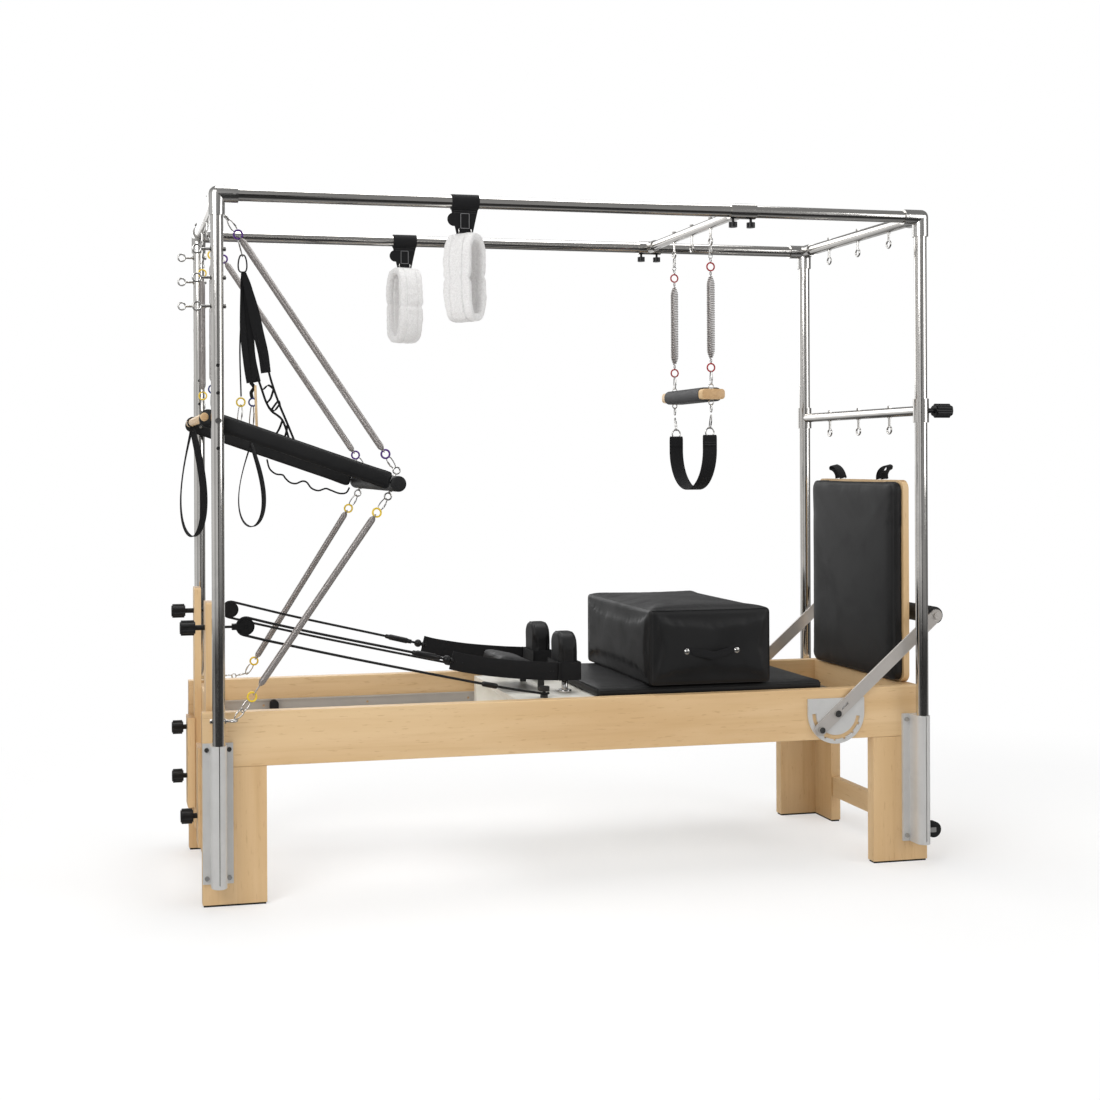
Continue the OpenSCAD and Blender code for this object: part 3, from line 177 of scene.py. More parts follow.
def maple(name, grain, seed):
    finish = Finish(name, {"Coat Weight": 0.12, "Coat Roughness": 0.3})
    along = np.eye(3)[grain]
    place = finish.spot(tuple(1 - 0.9 * along), (seed, 2.3 * seed, 1.7 * seed))
    cathedral = finish.noise(place, 5.5, 4, 0.55, 0.6)
    streak = finish.noise(finish.spot(tuple(1 - 0.97 * along), (seed, seed, seed)), 60, 3, 0.6)
    fleck = finish.noise(finish.spot(tuple(1 - 0.86 * along), (0, seed, 0)), 170, 2, 0.5)
    colour = finish.mix(cathedral.upTo(0.32, 0.7), tone(221, 190, 145), tone(207, 171, 122))
    colour = finish.mix(streak.upTo(0.45, 0.8) * 0.35, colour, tone(192, 152, 104))
    colour = finish.mix(fleck.upTo(0.62, 0.74) * 0.4, colour, tone(176, 132, 88))
    normal = finish.add("ShaderNodeNewGeometry", output=1)
    endGrain = abs(finish.split(normal)[grain]) > 0.8
    rings = finish.noise(finish.spot((1, 1, 1), (seed, 0, 0)), 90, 2, 0.5, 1.5)
    colour = finish.mix(endGrain * (0.35 + rings * 0.4), colour, tone(168, 128, 84))
    finish.set("Base Color", colour)
    finish.set("Roughness", 0.36 + streak * 0.16)
    finish.bump(streak + fleck * 0.5, 0.0002, 0.5)
    return finish.material


def polished(name, grain, colour, low, high, metallic=1.0):
    finish = Finish(name, {"Metallic": metallic})
    scale = np.full(3, 1.0)
    if grain is not None:
        scale[grain] = 0.04
    lines = finish.noise(finish.spot(tuple(scale)), 420, 3, 0.6)
    smear = finish.noise(finish.spot(), 9, 4, 0.6)
    finish.set("Base Color", finish.mix(smear.upTo(0.35, 0.75) * 0.5, colour,
                                        tuple(0.8 * c for c in colour[:3]) + (1,)))
    finish.set("Roughness", low + smear.upTo(0.3, 0.8) * (high - low) + lines * 0.05)
    finish.bump(lines, 0.00003, 0.4)
    return finish.material


def vinyl(name, seed):
    finish = Finish(name, {"Specular IOR Level": 0.42})
    grain = finish.cells(finish.spot((1, 1, 1), (seed, 0, 0)), 900)
    pores = finish.noise(finish.spot(), 2600, 2, 0.5)
    folds = finish.noise(finish.spot((1, 1, 1), (0, seed, 0)), 7, 3, 0.5, 0.8)
    # Painted shade: the base colour is darker in the hollows of the folds, where their bump sinks
    finish.set("Base Color", finish.mix(folds.upTo(0.3, 0.75), (0.0055, 0.0055, 0.006, 1),
                                        (0.0085, 0.0085, 0.009, 1)))
    finish.set("Roughness", 0.4 + folds.upTo(0.3, 0.8) * 0.14 + grain * 0.1)
    finish.bump(grain + pores * 0.4, 0.00018, 0.6)
    finish.bump(folds, 0.004, 0.25)
    return finish.material


def webbing(name, shade, rib):
    finish = Finish(name, {"Roughness": 0.8, "Specular IOR Level": 0.2, "Sheen Weight": 0.06,
                           "Sheen Roughness": 0.4})
    around, along = finish.flat()
    weft = (along * (fullTurn / rib)).sine()
    warp = (around * (fullTurn / (1.3 * rib))).sine()
    weave = abs(weft) * 0.7 + abs(warp) * 0.3
    dust = finish.noise(finish.spot(), 60, 4, 0.6)
    # Painted shade: the colour is darkest in the low parts of the weave, where the bump sinks
    grooveShade = tuple(0.55 * c for c in shade) + (1,)
    finish.set("Base Color", finish.mix(weave * 0.7 + dust * 0.3, grooveShade, shade + (1,)))
    finish.bump(weave, 0.0004, 0.8)
    return finish.material


def braid(name, shade, turns, lay):
    finish = Finish(name, {"Roughness": 0.62, "Specular IOR Level": 0.25})
    around, along = finish.flat()
    left = (along * (fullTurn / lay) + around * turns).sine()
    right = (along * (fullTurn / lay) - around * turns).sine()
    plait = left.atLeast(right)
    # Painted shade: the colour is darkest in the grooves between the strands, where the plait bump
    # sinks
    grooveShade = tuple(0.4 * c for c in shade) + (1,)
    finish.set("Base Color", finish.mix(plait.upTo(-0.2, 0.9), grooveShade, shade + (1,)))
    finish.bump(plait, 0.0005, 0.9)
    return finish.material


def moulded(name, colour, roughness, texture, shine=0.5):
    finish = Finish(name, {"Specular IOR Level": shine})
    grain = finish.noise(finish.spot(), 1500, 2, 0.5)
    scuff = finish.noise(finish.spot(), 25, 5, 0.65)
    worn = tuple(min(1, 1.5 * c + 0.006) for c in colour[:3]) + (1,)
    finish.set("Base Color", finish.mix(scuff.upTo(0.5, 0.8) * 0.6, colour, worn))
    finish.set("Roughness", roughness + scuff.upTo(0.4, 0.8) * 0.12)
    finish.bump(grain, texture, 0.5)
    return finish.material


def lambFleece(name):
    finish = Finish(name, {"Roughness": 0.9, "Sheen Weight": 0.4, "Sheen Roughness": 0.5})
    curls = finish.noise(finish.spot(), 230, 4, 0.7, 1.2)
    tufts = finish.cells(finish.spot(), 140)
    # Painted shade: the base colour is darker in the hollows between curls and tufts, where the bump
    # sinks
    finish.set("Base Color", finish.mix(curls.upTo(0.3, 0.65) * 0.8 + tufts * 0.2, tone(205, 203, 202),
                                        tone(234, 233, 232)))
    finish.bump(curls + tufts * 0.6, 0.0014, 0.55)
    return finish.material


def deckPaint(name, deckTop):
    finish = Finish(name, {})
    height = finish.split(finish.add("ShaderNodeTexCoord", output=3))[2]
    fittings = height > deckTop
    patch = finish.noise(finish.spot(), 14, 4, 0.55)
    paint = finish.mix(patch.upTo(0.3, 0.75), tone(236, 233, 224), tone(224, 220, 208))
    finish.set("Base Color", finish.mix(fittings, paint, (0.02, 0.02, 0.021, 1)))
    finish.set("Roughness", 0.36 + patch * 0.12)
    finish.bump(finish.noise(finish.spot(), 700, 2, 0.5), 0.0001, 0.4)
    return finish.material


steelColour = (0.77, 0.75, 0.72, 1)
wood = {axis: maple("mapleAlong" + "XYZ"[axis], axis, 1.3 + axis) for axis in range(3)}
tube = {axis: polished("tubeAlong" + "XYZ"[axis], axis, steelColour, 0.07, 0.16) for axis in range(3)}
brightSteel = polished("brightSteel", None, (0.7, 0.69, 0.67, 1), 0.14, 0.26)
springSteel = polished("springSteel", None, (0.45, 0.42, 0.405, 1), 0.2, 0.32, 0.65)
satinAluminium = polished("satinAluminium", 2, (0.68, 0.675, 0.66, 1), 0.34, 0.46, 0.35)
trackAluminium = polished("trackAluminium", 0, (0.6, 0.57, 0.53, 1), 0.3, 0.42, 0.4)
armAluminium = polished("armAluminium", None, (0.58, 0.545, 0.51, 1), 0.26, 0.36, 0.4)
blackVinyl = vinyl("blackVinyl", 3.0)
blackWebbing = webbing("blackWebbing", (0.013, 0.013, 0.014), 0.0022)
blackRope = braid("blackRope", (0.016, 0.016, 0.017), 750, 0.009)
blackPlastic = moulded("blackPlastic", (0.009, 0.009, 0.0095, 1), 0.36, 0.00006, 0.35)
blackRubber = moulded("blackRubber", (0.012, 0.012, 0.012, 1), 0.62, 0.00015, 0.25)
gripFoam = moulded("gripFoam", (0.0115, 0.0115, 0.012, 1), 0.5, 0.0002, 0.3)
greyFoam = moulded("greyFoam", (0.05, 0.05, 0.052, 1), 0.5, 0.0002, 0.3)
purplePaint = moulded("purpleEnamel", (0.075, 0.012, 0.19, 1), 0.3, 0.00002)
yellowPaint = moulded("yellowEnamel", (0.72, 0.5, 0.03, 1), 0.3, 0.00002)
redPaint = moulded("redEnamel", (0.34, 0.008, 0.012, 1), 0.3, 0.00002)
bluePaint = moulded("blueEnamel", (0.018, 0.025, 0.14, 1), 0.3, 0.00002)
greyThread = moulded("greyThread", (0.22, 0.22, 0.225, 1), 0.6, 0.0001)
blackThread = moulded("blackThread", (0.045, 0.045, 0.047, 1), 0.6, 0.0001)
fleeceCloth = lambFleece("fleece")
deckFinish = deckPaint("deckPaint", 0.5604)
print("finishes made:", len(bpy.data.materials))


# Surfaces. Points are in millimetres; rows run along a piece and columns go round it

def unit(v):
    return v / np.linalg.norm(v, axis=-1, keepdims=True)


# Skin over a grid of points: one face joins each four neighbours, the columns wrap round,
# and so do the rows where they are closed; a fan of triangles closes each open end
def skin(grid, finish, closedRows=False):
    rows, columns = grid.shape[:2]
    a, b = np.meshgrid(np.arange(rows - (not closedRows)), np.arange(columns), indexing="ij")
    a2, b2 = (a + 1) % rows, (b + 1) % columns
    quads = np.stack([a * columns + b, a * columns + b2, a2 * columns + b2, a2 * columns + b], -1)
    stepAlong = np.linalg.norm(np.roll(grid, -1, 0) - grid, axis=2).mean(1)
    stepRound = np.linalg.norm(np.roll(grid, -1, 1) - grid, axis=2).max(0)
    along = np.concatenate([[0], np.cumsum(stepAlong)])
    around = np.concatenate([[0], np.cumsum(stepRound)])
    corners = [(around[b], along[a]), (around[b + 1], along[a]), (around[b + 1], along[a + 1]),
               (around[b], along[a + 1])]
    flatQuads = np.stack([np.stack(c, -1) for c in corners], 2).reshape(-1, 2)
    points = grid.reshape(-1, 3)
    triangles = np.zeros((0, 3), int)
    flatTriangles = np.zeros((0, 2))
    if not closedRows:
        n = np.arange(columns)
        m = (n + 1) % columns
        last = (rows - 1) * columns
        top = len(points)
        points = np.concatenate([points, grid[:1].mean(1), grid[-1:].mean(1)])
        triangles = np.concatenate([np.stack([m, n, np.full(columns, top)], -1),
                                    np.stack([n + last, m + last, np.full(columns, top + 1)], -1)])
        rim = np.stack([around[n], np.zeros(columns)], -1)
        flatTriangles = np.tile(rim, (2, 1)).repeat(3, 0)
    return {"points": points, "quads": quads.reshape(-1, 4), "triangles": triangles,
            "flat": np.concatenate([flatQuads, flatTriangles]), "finish": finish}


# One mesh from several skins, on a CAD body, with its slot and the nodes that it stands for
def makePiece(name, body, skins, standsFor=()):
    finishes = []
    points, loops, starts, flats, slots = [], [], [], [], []
    pointCount = loopCount = 0
    for part in skins:
        if part["finish"] not in finishes:
            finishes.append(part["finish"])
        quads, triangles = part["quads"] + pointCount, part["triangles"] + pointCount
        loops += [quads.ravel(), triangles.ravel()]
        starts += [loopCount + 4 * np.arange(len(quads)),
                   loopCount + 4 * len(quads) + 3 * np.arange(len(triangles))]
        flats.append(part["flat"])
        slots.append(np.full(len(quads) + len(triangles), finishes.index(part["finish"])))
        points.append(part["points"])
        pointCount += len(part["points"])
        loopCount += 4 * len(quads) + 3 * len(triangles)
    points, loops, starts = np.concatenate(points), np.concatenate(loops), np.concatenate(starts)
    mesh = bpy.data.meshes.new(name)
    mesh.vertices.add(len(points))
    mesh.vertices.foreach_set("co", (points * toMetres).ravel())
    mesh.loops.add(len(loops))
    mesh.loops.foreach_set("vertex_index", loops.astype(np.int32))
    mesh.polygons.add(len(starts))
    mesh.polygons.foreach_set("loop_start", starts.astype(np.int32))
    mesh.polygons.foreach_set("material_index", np.concatenate(slots).astype(np.int32))
    mesh.polygons.foreach_set("use_smooth", np.full(len(starts), True))
    mesh.update(calc_edges=True)
    flatMap = mesh.uv_layers.new(name="flat")
    flatMap.data.foreach_set("uv", (np.concatenate(flats) * toMetres).ravel())
    for finish in finishes:
        mesh.materials.append(finish)
    piece = bpy.data.objects.new(name, mesh)
    bpy.context.scene.collection.objects.link(piece)
    if body:
        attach(piece, body)
    if standsFor:
        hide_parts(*standsFor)
    return piece


def roundAngles(count):
    return fullTurn * np.arange(count) / count


def circle(diameter, sides):
    angle = roundAngles(sides)
    return diameter / 2 * np.stack([np.cos(angle), np.sin(angle)], -1)


# Section of a strap: a flat rectangle with four rounded corners
def flatBand(width, thickness, radius=None, steps=3):
    radius = radius or 0.45 * thickness
    angle = np.linspace(0, np.pi / 2, steps)
    turn = np.arange(4)[:, None] * np.pi / 2
    signs = np.array([[1, 1], [-1, 1], [-1, -1], [1, -1]])[:, None, :]
    centre = signs * [width / 2 - radius, thickness / 2 - radius]
    arc = radius * np.stack([np.cos(angle + turn), np.sin(angle + turn)], -1)
    return (centre + arc).reshape(-1, 2)


# Profile carried along a path: at each point it stands square to the path, with its
# first axis on the side direction
def sweep(path, profile, side, finish, closed=False, scale=None):
    path = np.asarray(path, float)
    way = unit(np.roll(path, -1, 0) - np.roll(path, 1, 0) if closed else np.gradient(path, axis=0))
    side = np.broadcast_to(np.asarray(side, float), path.shape)
    first = unit(side - way * (side * way).sum(1, keepdims=True))
    second = np.cross(way, first)
    offset = profile[None, :, :1] * first[:, None] + profile[None, :, 1:] * second[:, None]
    if scale is not None:
        offset = offset * np.asarray(scale)[:, None, None]
    return skin(path[:, None] + offset, finish, closedRows=closed)


# Smooth line through a few points: each stretch is a cubic whose slope at a point is half
# the way from the point before it to the one after it
def smoothPath(points, count, closed=False):
    p = np.asarray(points, float)
    ends = [p[-1:], p, p[:2]] if closed else [2 * p[:1] - p[1:2], p, 2 * p[-1:] - p[-2:-1]]
    q = np.concatenate(ends)
    stretches = len(p) if closed else len(p) - 1
    u = np.linspace(0, stretches, count, endpoint=not closed)
    i = np.minimum(u.astype(int), stretches - 1)
    t = (u - i)[:, None]
    before, start, end, after = q[i], q[i + 1], q[i + 2], q[i + 3]
    return 0.5 * (2 * start + (end - before) * t + (2 * before - 5 * start + 4 * end - after) * t ** 2
                  + (3 * start - before - 3 * end + after) * t ** 3)


# An axis and two directions square to it and to each other
def axesAbout(axis):
    axis = unit(np.asarray(axis, float))
    helper = np.array([0, 0, 1.0]) if abs(axis[2]) < 0.9 else np.array([1.0, 0, 0])
    first = unit(np.cross(helper, axis))
    return axis, first, np.cross(axis, first)


# Turned shape: an outline of (radius, distance along the axis) spun about the axis
def turned(origin, axis, outline, finish, sides=32):
    axis, first, second = axesAbout(axis)
    outline = np.asarray(outline, float)
    angle = roundAngles(sides)
    ring = np.cos(angle)[:, None] * first + np.sin(angle)[:, None] * second
    grid = np.asarray(origin, float) + outline[:, None, 1:] * axis + outline[:, None, :1] * ring
    return skin(grid, finish)


# Rod with two chamfered ends from one point to another
def rodBetween(a, b, diameter, finish, sides=16, edge=0.6):
    a, b = np.asarray(a, float), np.asarray(b, float)
    r, length = diameter / 2, np.linalg.norm(b - a)
    outline = [(r - edge, 0), (r - 0.3 * edge, 0.3 * edge), (r, edge), (r, length - edge),
               (r - 0.3 * edge, length - 0.3 * edge), (r - edge, length)]
    return turned(a, b - a, outline, finish, sides)


# Ring: a round wire carried round a circle
def wireRing(centre, axis, outer, wire, finish, steps=32, sides=10):
    axis, first, second = axesAbout(axis)
    angle = roundAngles(steps)[:, None]
    outward = np.cos(angle) * first + np.sin(angle) * second
    path = np.asarray(centre, float) + (outer - wire) / 2 * outward
    return sweep(path, circle(wire, sides), axis, finish, closed=True)


# Snap hook: wire along a long round-ended loop from one end to the other, wider at its
# far end, with its gate along one side
def snapHook(start, end, normal, width, wire, finish):
    start, end = np.asarray(start, float), np.asarray(end, float)
    way = unit(end - start)
    side = unit(np.cross(way, np.asarray(normal, float)))
    length = np.linalg.norm(end - start)
    angle = roundAngles(28)[:, None]
    t = 0.5 - 0.5 * np.cos(angle)
    reach = width / 2 * (0.72 + 0.28 * t) * np.sign(np.sin(angle)) * np.abs(np.sin(angle)) ** 0.6
    path = start + way * (length * t) + side * reach
    gate = rodBetween(start + way * 0.3 * length + side * width * 0.42,
                      start + way * 0.72 * length + side * width * 0.46, wire * 1.35, finish, 10)
    return [sweep(path, circle(wire, 8), np.cross(way, side), finish, closed=True), gate]


# Spring: a wire carried along a helix, whose radius grows from its ends to the full size
def coil(start, end, outer, wire, turns, finish, taper=4.0, endShare=0.45, steps=11, sides=5,
         width=None):
    start, end = np.asarray(start, float), np.asarray(end, float)
    first, second = axesAbout(end - start)[1:]
    u = np.linspace(0, turns, int(turns * steps) + 1)
    grown = np.clip(np.minimum(u, turns - u) / taper, 0, 1)
    radius = (outer - wire) / 2 * (endShare + (1 - endShare) * np.sin(grown * np.pi / 2))
    if width is not None:
        radius = radius * np.interp(u / turns, [0, 1], width)
    angle = fullTurn * u
    ring = np.cos(angle)[:, None] * first + np.sin(angle)[:, None] * second
    path = start + (end - start) * (u / turns)[:, None] + radius[:, None] * ring
    return sweep(path, circle(wire, sides), ring, finish)


# Cushions

# A place to lay a piece in: its origin and the directions of its three axes
def frameAxes(origin, x, y, z):
    return {"origin": np.asarray(origin, float), "axes": np.array([x, y, z], float)}


def placed(points, where):
    return points @ where["axes"] + where["origin"]


# Outline of a board with round corners at a distance inside its edge: four arcs, with
# straight sides between them that are drawn in by a sine bow. One row for each inset.
def boardRings(width, length, radii, inset, bow, arcSteps=9, sideSteps=24):
    inset = np.asarray(inset, float)[:, None]
    r = np.maximum(np.asarray(radii, float)[None, :] - inset, 1.5)
    signs = np.array([[1, 1], [-1, 1], [-1, -1], [1, -1]], float)
    half = np.maximum(np.array([width / 2, length / 2]) - inset, 2.0)
    r = np.minimum(r, half.min(1, keepdims=True) - 0.5)
    centre = signs * (half[:, None, :] - r[:, :, None])
    angle = np.arange(4)[:, None] * np.pi / 2 + np.linspace(0, np.pi / 2, arcSteps)
    arc = np.stack([np.cos(angle), np.sin(angle)], -1)
    corner = centre[:, :, None, :] + r[:, :, None, None] * arc[None]
    start, end = corner[:, :, -1:], np.roll(corner[:, :, :1], -1, 1)
    t = (np.arange(1, sideSteps + 1) / (sideSteps + 1))[None, None, :, None]
    outward = np.stack([np.cos(angle[:, -1]), np.sin(angle[:, -1])], -1)[None, :, None, :]
    drawnIn = np.asarray(bow)[:, None, None, None] * np.sin(np.pi * t) * outward
    side = start + (end - start) * t - drawnIn
    return np.concatenate([corner, side], 2).reshape(len(inset), -1, 2)


# Closed cushion: rings of the board outline that climb from the middle of the flat base,
# round the lower edge, up the drawn-in side, over the upper edge and on to the crown
def cushionGrid(s):
    edge, low, height, crown = s["edge"], s.get("lowEdge", 4.0), s["height"], s["crown"]
    middle = min(s["width"], s["length"]) / 2 - 2
    turn = np.linspace(0, np.pi / 2, 6)
    base = np.linspace(middle, low, 7)
    lowInset, lowRise = low - low * np.sin(turn), low - low * np.cos(turn)
    sideRise = np.linspace(low, height - crown - edge, 8)[1:-1]
    topInset, topRise = edge - edge * np.cos(turn), height - crown - edge + edge * np.sin(turn)
    over = np.linspace(0, 1, 14)[1:]
    inset = np.concatenate([base, lowInset[1:], np.zeros(6), topInset, edge + (middle - edge) * over])
    rise = np.concatenate([np.zeros(7), lowRise[1:], sideRise, topRise,
                           height - crown + crown * (1 - (1 - over) ** 2)])
    bow = s["pull"] * np.sin(np.pi * np.clip(rise / height, 0, 1)) * (inset < edge)
    rings = boardRings(s["width"], s["length"], s["radii"], inset, bow)
    return np.concatenate([rings, np.broadcast_to(rise[:, None, None], rings.shape[:2] + (1,))], 2)


def shownMesh(piece):
    bpy.context.view_layer.update()
    return bpy.data.meshes.new_from_object(piece.evaluated_get(bpy.context.evaluated_depsgraph_get()))


def meshPoints(mesh):
    flat = np.zeros(3 * len(mesh.vertices), np.float32)
    mesh.vertices.foreach_get("co", flat)
    return flat.reshape(-1, 3).astype(float)


swellFrames = 20


# Stuffing: the cover is meshed evenly, swells as cloth under pressure for some frames, and
# no point goes further than the cap; the face that rests on something stays flat
def stuff(piece, where, s):
    remesh = piece.modifiers.new("even", "REMESH")
    remesh.mode = "VOXEL"
    remesh.voxel_size = s["voxel"] * toMetres
    remesh.use_smooth_shade = True
    even = shownMesh(piece)
    piece.modifiers.clear()
    finish = piece.data.materials[0]
    piece.data = even
    if not len(even.materials):
        even.materials.append(finish)
    start = meshPoints(even)
    cloth = piece.modifiers.new("cover", "CLOTH")
    cloth.settings.quality = 4
    cloth.settings.use_pressure = True
    cloth.settings.uniform_pressure_force = s.get("pressure", 4.0)
    cloth.settings.effector_weights.gravity = 0
    cloth.settings.tension_stiffness = cloth.settings.compression_stiffness = 20
    cloth.point_cache.frame_start, cloth.point_cache.frame_end = 1, swellFrames
    for frameNumber in range(1, swellFrames + 1):
        bpy.context.scene.frame_set(frameNumber)
    swollen = meshPoints(shownMesh(piece))
    piece.modifiers.clear()
    bpy.context.scene.frame_set(1)
    move = swollen - start
    far = np.linalg.norm(move, axis=1, keepdims=True)
    move = move * np.minimum(1, s["cap"] * toMetres / np.maximum(far, 1e-9))
    local = (start / toMetres - where["origin"]) @ where["axes"].T
    height = local[:, 2:]
    free = np.clip(height / s.get("restBand", 8.0), 0, 1)
    points = start + move * free
    for seam in s.get("seams", []):
        points = points + seamDip(points, seam, where, s)
    even.vertices.foreach_set("co", points.ravel())
    even.update()
    smooth = piece.modifiers.new("smooth", "SUBSURF")
    smooth.levels = smooth.render_levels = s.get("smooth", 1)
    print("cushion", piece.name, len(points), "points")


# A sewn seam pulls the cover in: each point moves towards the middle by a bell curve of
# its distance from the seam's line
def seamDip(points, seam, where, s):
    centre = placed(np.array([[0, 0, s["height"] / 2]]), where) * toMetres
    deep, wide = s.get("seamDeep", 1.6) * toMetres, s.get("seamWide", 5.0) * toMetres
    line = seam[:: max(1, len(seam) // 240)] * toMetres
    low, high = line.min(0) - 3 * wide, line.max(0) + 3 * wide
    close = np.where(((points > low) & (points < high)).all(1))[0]
    nearest = np.full(len(points), 1.0)
    for block in np.array_split(close, max(1, len(close) // 4000)):
        gap = np.linalg.norm(points[block, None] - line[None], axis=2)
        nearest[block] = gap.min(1)
    return deep * np.exp(-(nearest / wide) ** 2)[:, None] * unit(centre - points)


# Path laid on a piece's surface: each point goes to the nearest point of the skin, then
# stands off it by lift
def laidOn(path, piece, lift):
    mesh = shownMesh(piece)
    mesh.calc_loop_triangles()
    corners = np.zeros(3 * len(mesh.loop_triangles), np.int32)
    mesh.loop_triangles.foreach_get("vertices", corners)
    tree = BVHTree.FromPolygons(meshPoints(mesh).tolist(), corners.reshape(-1, 3).tolist())
    found = [tree.find_nearest(p)[:2] for p in (path * toMetres).tolist()]
    spots, normals = np.array([f[0] for f in found]), np.array([f[1] for f in found])
    return spots / toMetres + lift * normals, normals


def ringAt(s, where, inset, rise, steps=9, sides=26):
    ring = boardRings(s["width"], s["length"], s["radii"], [inset], [0.0], steps, sides)[0]
    return placed(np.concatenate([ring, np.full((len(ring), 1), float(rise))], 1), where)


# Piping: a covered cord sewn into a seam, carried round a closed line on the cover
def piping(name, body, line, cover, thick):
    spots, normals = laidOn(line, cover, 0.15 * thick)
    makePiece(name, body, [sweep(spots, circle(thick, 8), normals, blackVinyl,
                                                closed=True)])


def upholster(name, body, s, where, standsFor=()):
    s["seams"] = [line(s, where) for line in s.get("seamLines", [])]
    grid = cushionGrid(s)
    points = placed(grid.reshape(-1, 3), where).reshape(grid.shape)
    cover = makePiece(name, None, [skin(points, blackVinyl)])
    stuff(cover, where, s)
    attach(cover, body)
    if standsFor:
        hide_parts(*standsFor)
    for i, line in enumerate(s["seams"]):
        piping(name + "Piping" + str(i), body, line, cover, s["piping"])


upright = np.eye(3)

# Mat on the carriage
mat = {"width": 776, "length": 546, "height": 31.5, "radii": [14] * 4, "edge": 9, "crown": 3.0,
       "pull": 1.5, "voxel": 7.0, "cap": 4.0, "fill": 0.9, "seamDeep": 1.0, "seamWide": 4.0,
       "piping": 3.0, "seamLines": [lambda s, w: ringAt(s, w, 0.5, 22)]}
upholster("matCover", "carriage", mat, frameAxes((452, 0, 560.4), *upright), ["carriage_mat"])


# Sitting box: its two end panels are sewn to one band that goes all round
def endSeam(side):
    def line(s, where):
        ring = boardRings(s["width"] - 1, s["height"] - s["crown"], [12.0] * 4, [0.0], [0.0], 7, 30)[0]
        local = np.stack([ring[:, 0], np.full(len(ring), side * (s["length"] / 2 - 5.0)),
                          ring[:, 1] + s["height"] / 2], -1)
        return placed(local, where)
    return line


box = {"width": 417, "length": 581, "height": 245.4, "radii": [15] * 4, "edge": 12, "lowEdge": 9.0,
       "crown": 4.0, "pull": 2.5, "voxel": 6.5, "cap": 4.5, "fill": 0.85, "seamDeep": 2.2,
       "seamWide": 6.0, "piping": 3.4, "seamLines": [endSeam(-1), endSeam(1)]}
upholster("boxCover", "sitting_box", box, frameAxes((442, 0, 592.9), *upright), ["sitting_box"])

# Jump board pad, standing on its edge with its crown to the head end
jumpPad = {"width": 662, "length": 534, "height": 35.6, "radii": [30] * 4, "edge": 11, "crown": 5.0,
           "pull": 1.5, "voxel": 6.5, "cap": 4.0, "fill": 0.85, "seamDeep": 1.4, "seamWide": 4.5,
           "piping": 3.0, "seamLines": [lambda s, w: ringAt(s, w, 1.2, 25)]}
upholster("jumpPadCover", "jump_board", jumpPad,
          frameAxes((1129.1, 0, 904.3), (0, 0, 1), (0, 1, 0), (-1, 0, 0)), ["jump_pad"])

# Headrest cushion on its tilted board
tilt = np.radians(13)
tiltX, tiltZ = np.array([np.cos(tilt), 0, -np.sin(tilt)]), np.array([np.sin(tilt), 0, np.cos(tilt)])
hinge = np.array([-62.0, 0, 602])
headPad = {"width": 131, "length": 218, "height": 39.6, "radii": [20] * 4, "edge": 12, "crown": 5.0,
           "pull": 2.0, "voxel": 4.0, "cap": 4.0, "fill": 0.75, "seamDeep": 1.4, "seamWide": 4.0,
           "piping": 2.8, "seamLines": [lambda s, w: ringAt(s, w, 0.6, 26)]}
headAxes = frameAxes(hinge - 84 * tiltX + 3.9 * tiltZ, tiltX, (0, 1, 0), tiltZ)
upholster("headrestCover", "headrest", headPad, headAxes, ["headrest"])
boardSpine = [hinge - 132 * tiltX - 1 * tiltZ, hinge - 8 * tiltX - 1 * tiltZ]
makePiece("headrestBoard", "headrest", [
    sweep(smoothPath(boardSpine, 6), flatBand(192, 9.6, 2.5), (0, 1, 0), blackPlastic),
    turned(hinge - [0, 70, 0], (0, 1, 0), [(7.6, 0), (9, 1.5), (9, 138.5), (7.6, 140)],
           blackPlastic, 24)])

# Shoulder rests: an arched pad on a steel post with a collar
for side, name in ((-1, "Front"), (1, "Rear")):
    y = 136.0 * side
    body = "shoulder_rest_" + name.lower()
    pad = {"width": 151, "length": 98, "height": 65, "radii": [14, 44, 44, 14], "edge": 11,
           "lowEdge": 10.0, "crown": 5.0, "pull": 2.5, "voxel": 4.0, "cap": 3.5, "fill": 0.8,
           "restBand": 1.0, "seamDeep": 1.6, "seamWide": 4.0, "piping": 3.0,
           "seamLines": [lambda s, w: ringAt(s, w, 2.0, 9), lambda s, w: ringAt(s, w, 2.0, 55)]}
    axes = frameAxes((-27.5, y, 682), (0, 0, -1), (0, 1, 0), (1, 0, 0))
    upholster("shoulderPad" + name, body, pad, axes, [body])
    makePiece("shoulderPost" + name, body, [
        turned((5, y, 533), (0, 0, 1), [(8, 0), (10, 2), (10, 90)], brightSteel),
        turned((5, y, 560.4), (0, 0, 1), [(10, 0), (21, 0), (22, 1), (22, 6.5), (20.5, 8), (10, 8)],
               brightSteel)])

# Foam roll of the foot bar
footbar = {"pivot": (851, 493), "reach": 467, "angle": np.radians(40.7), "rollHalf": 330.8}
rollStart = np.array([footbar["pivot"][0] + footbar["reach"] * np.cos(footbar["angle"]),
                      -footbar["rollHalf"],
                      footbar["pivot"][1] + footbar["reach"] * np.sin(footbar["angle"])])
rollEnd = 2 * footbar["rollHalf"]
footRoll = [(13.2, 0), (24, 0), (27.2, 1.6), (28.4, 5)]
footRoll += [(28.45 + 0.05 * (i % 2), 5 + 20 * i) for i in range(1, 32)]
footRoll += [(28.4, rollEnd - 5), (27.2, rollEnd - 1.6), (24, rollEnd), (13.2, rollEnd)]
roll = makePiece("footbarFoam", "footbar",
                 [turned(rollStart, (0, 1, 0), footRoll, gripFoam, 48)], ["footbar_roll"])
print("cushions made")


# Push-through bar: padded arms, foam roll, wooden dowel and the roll's rings

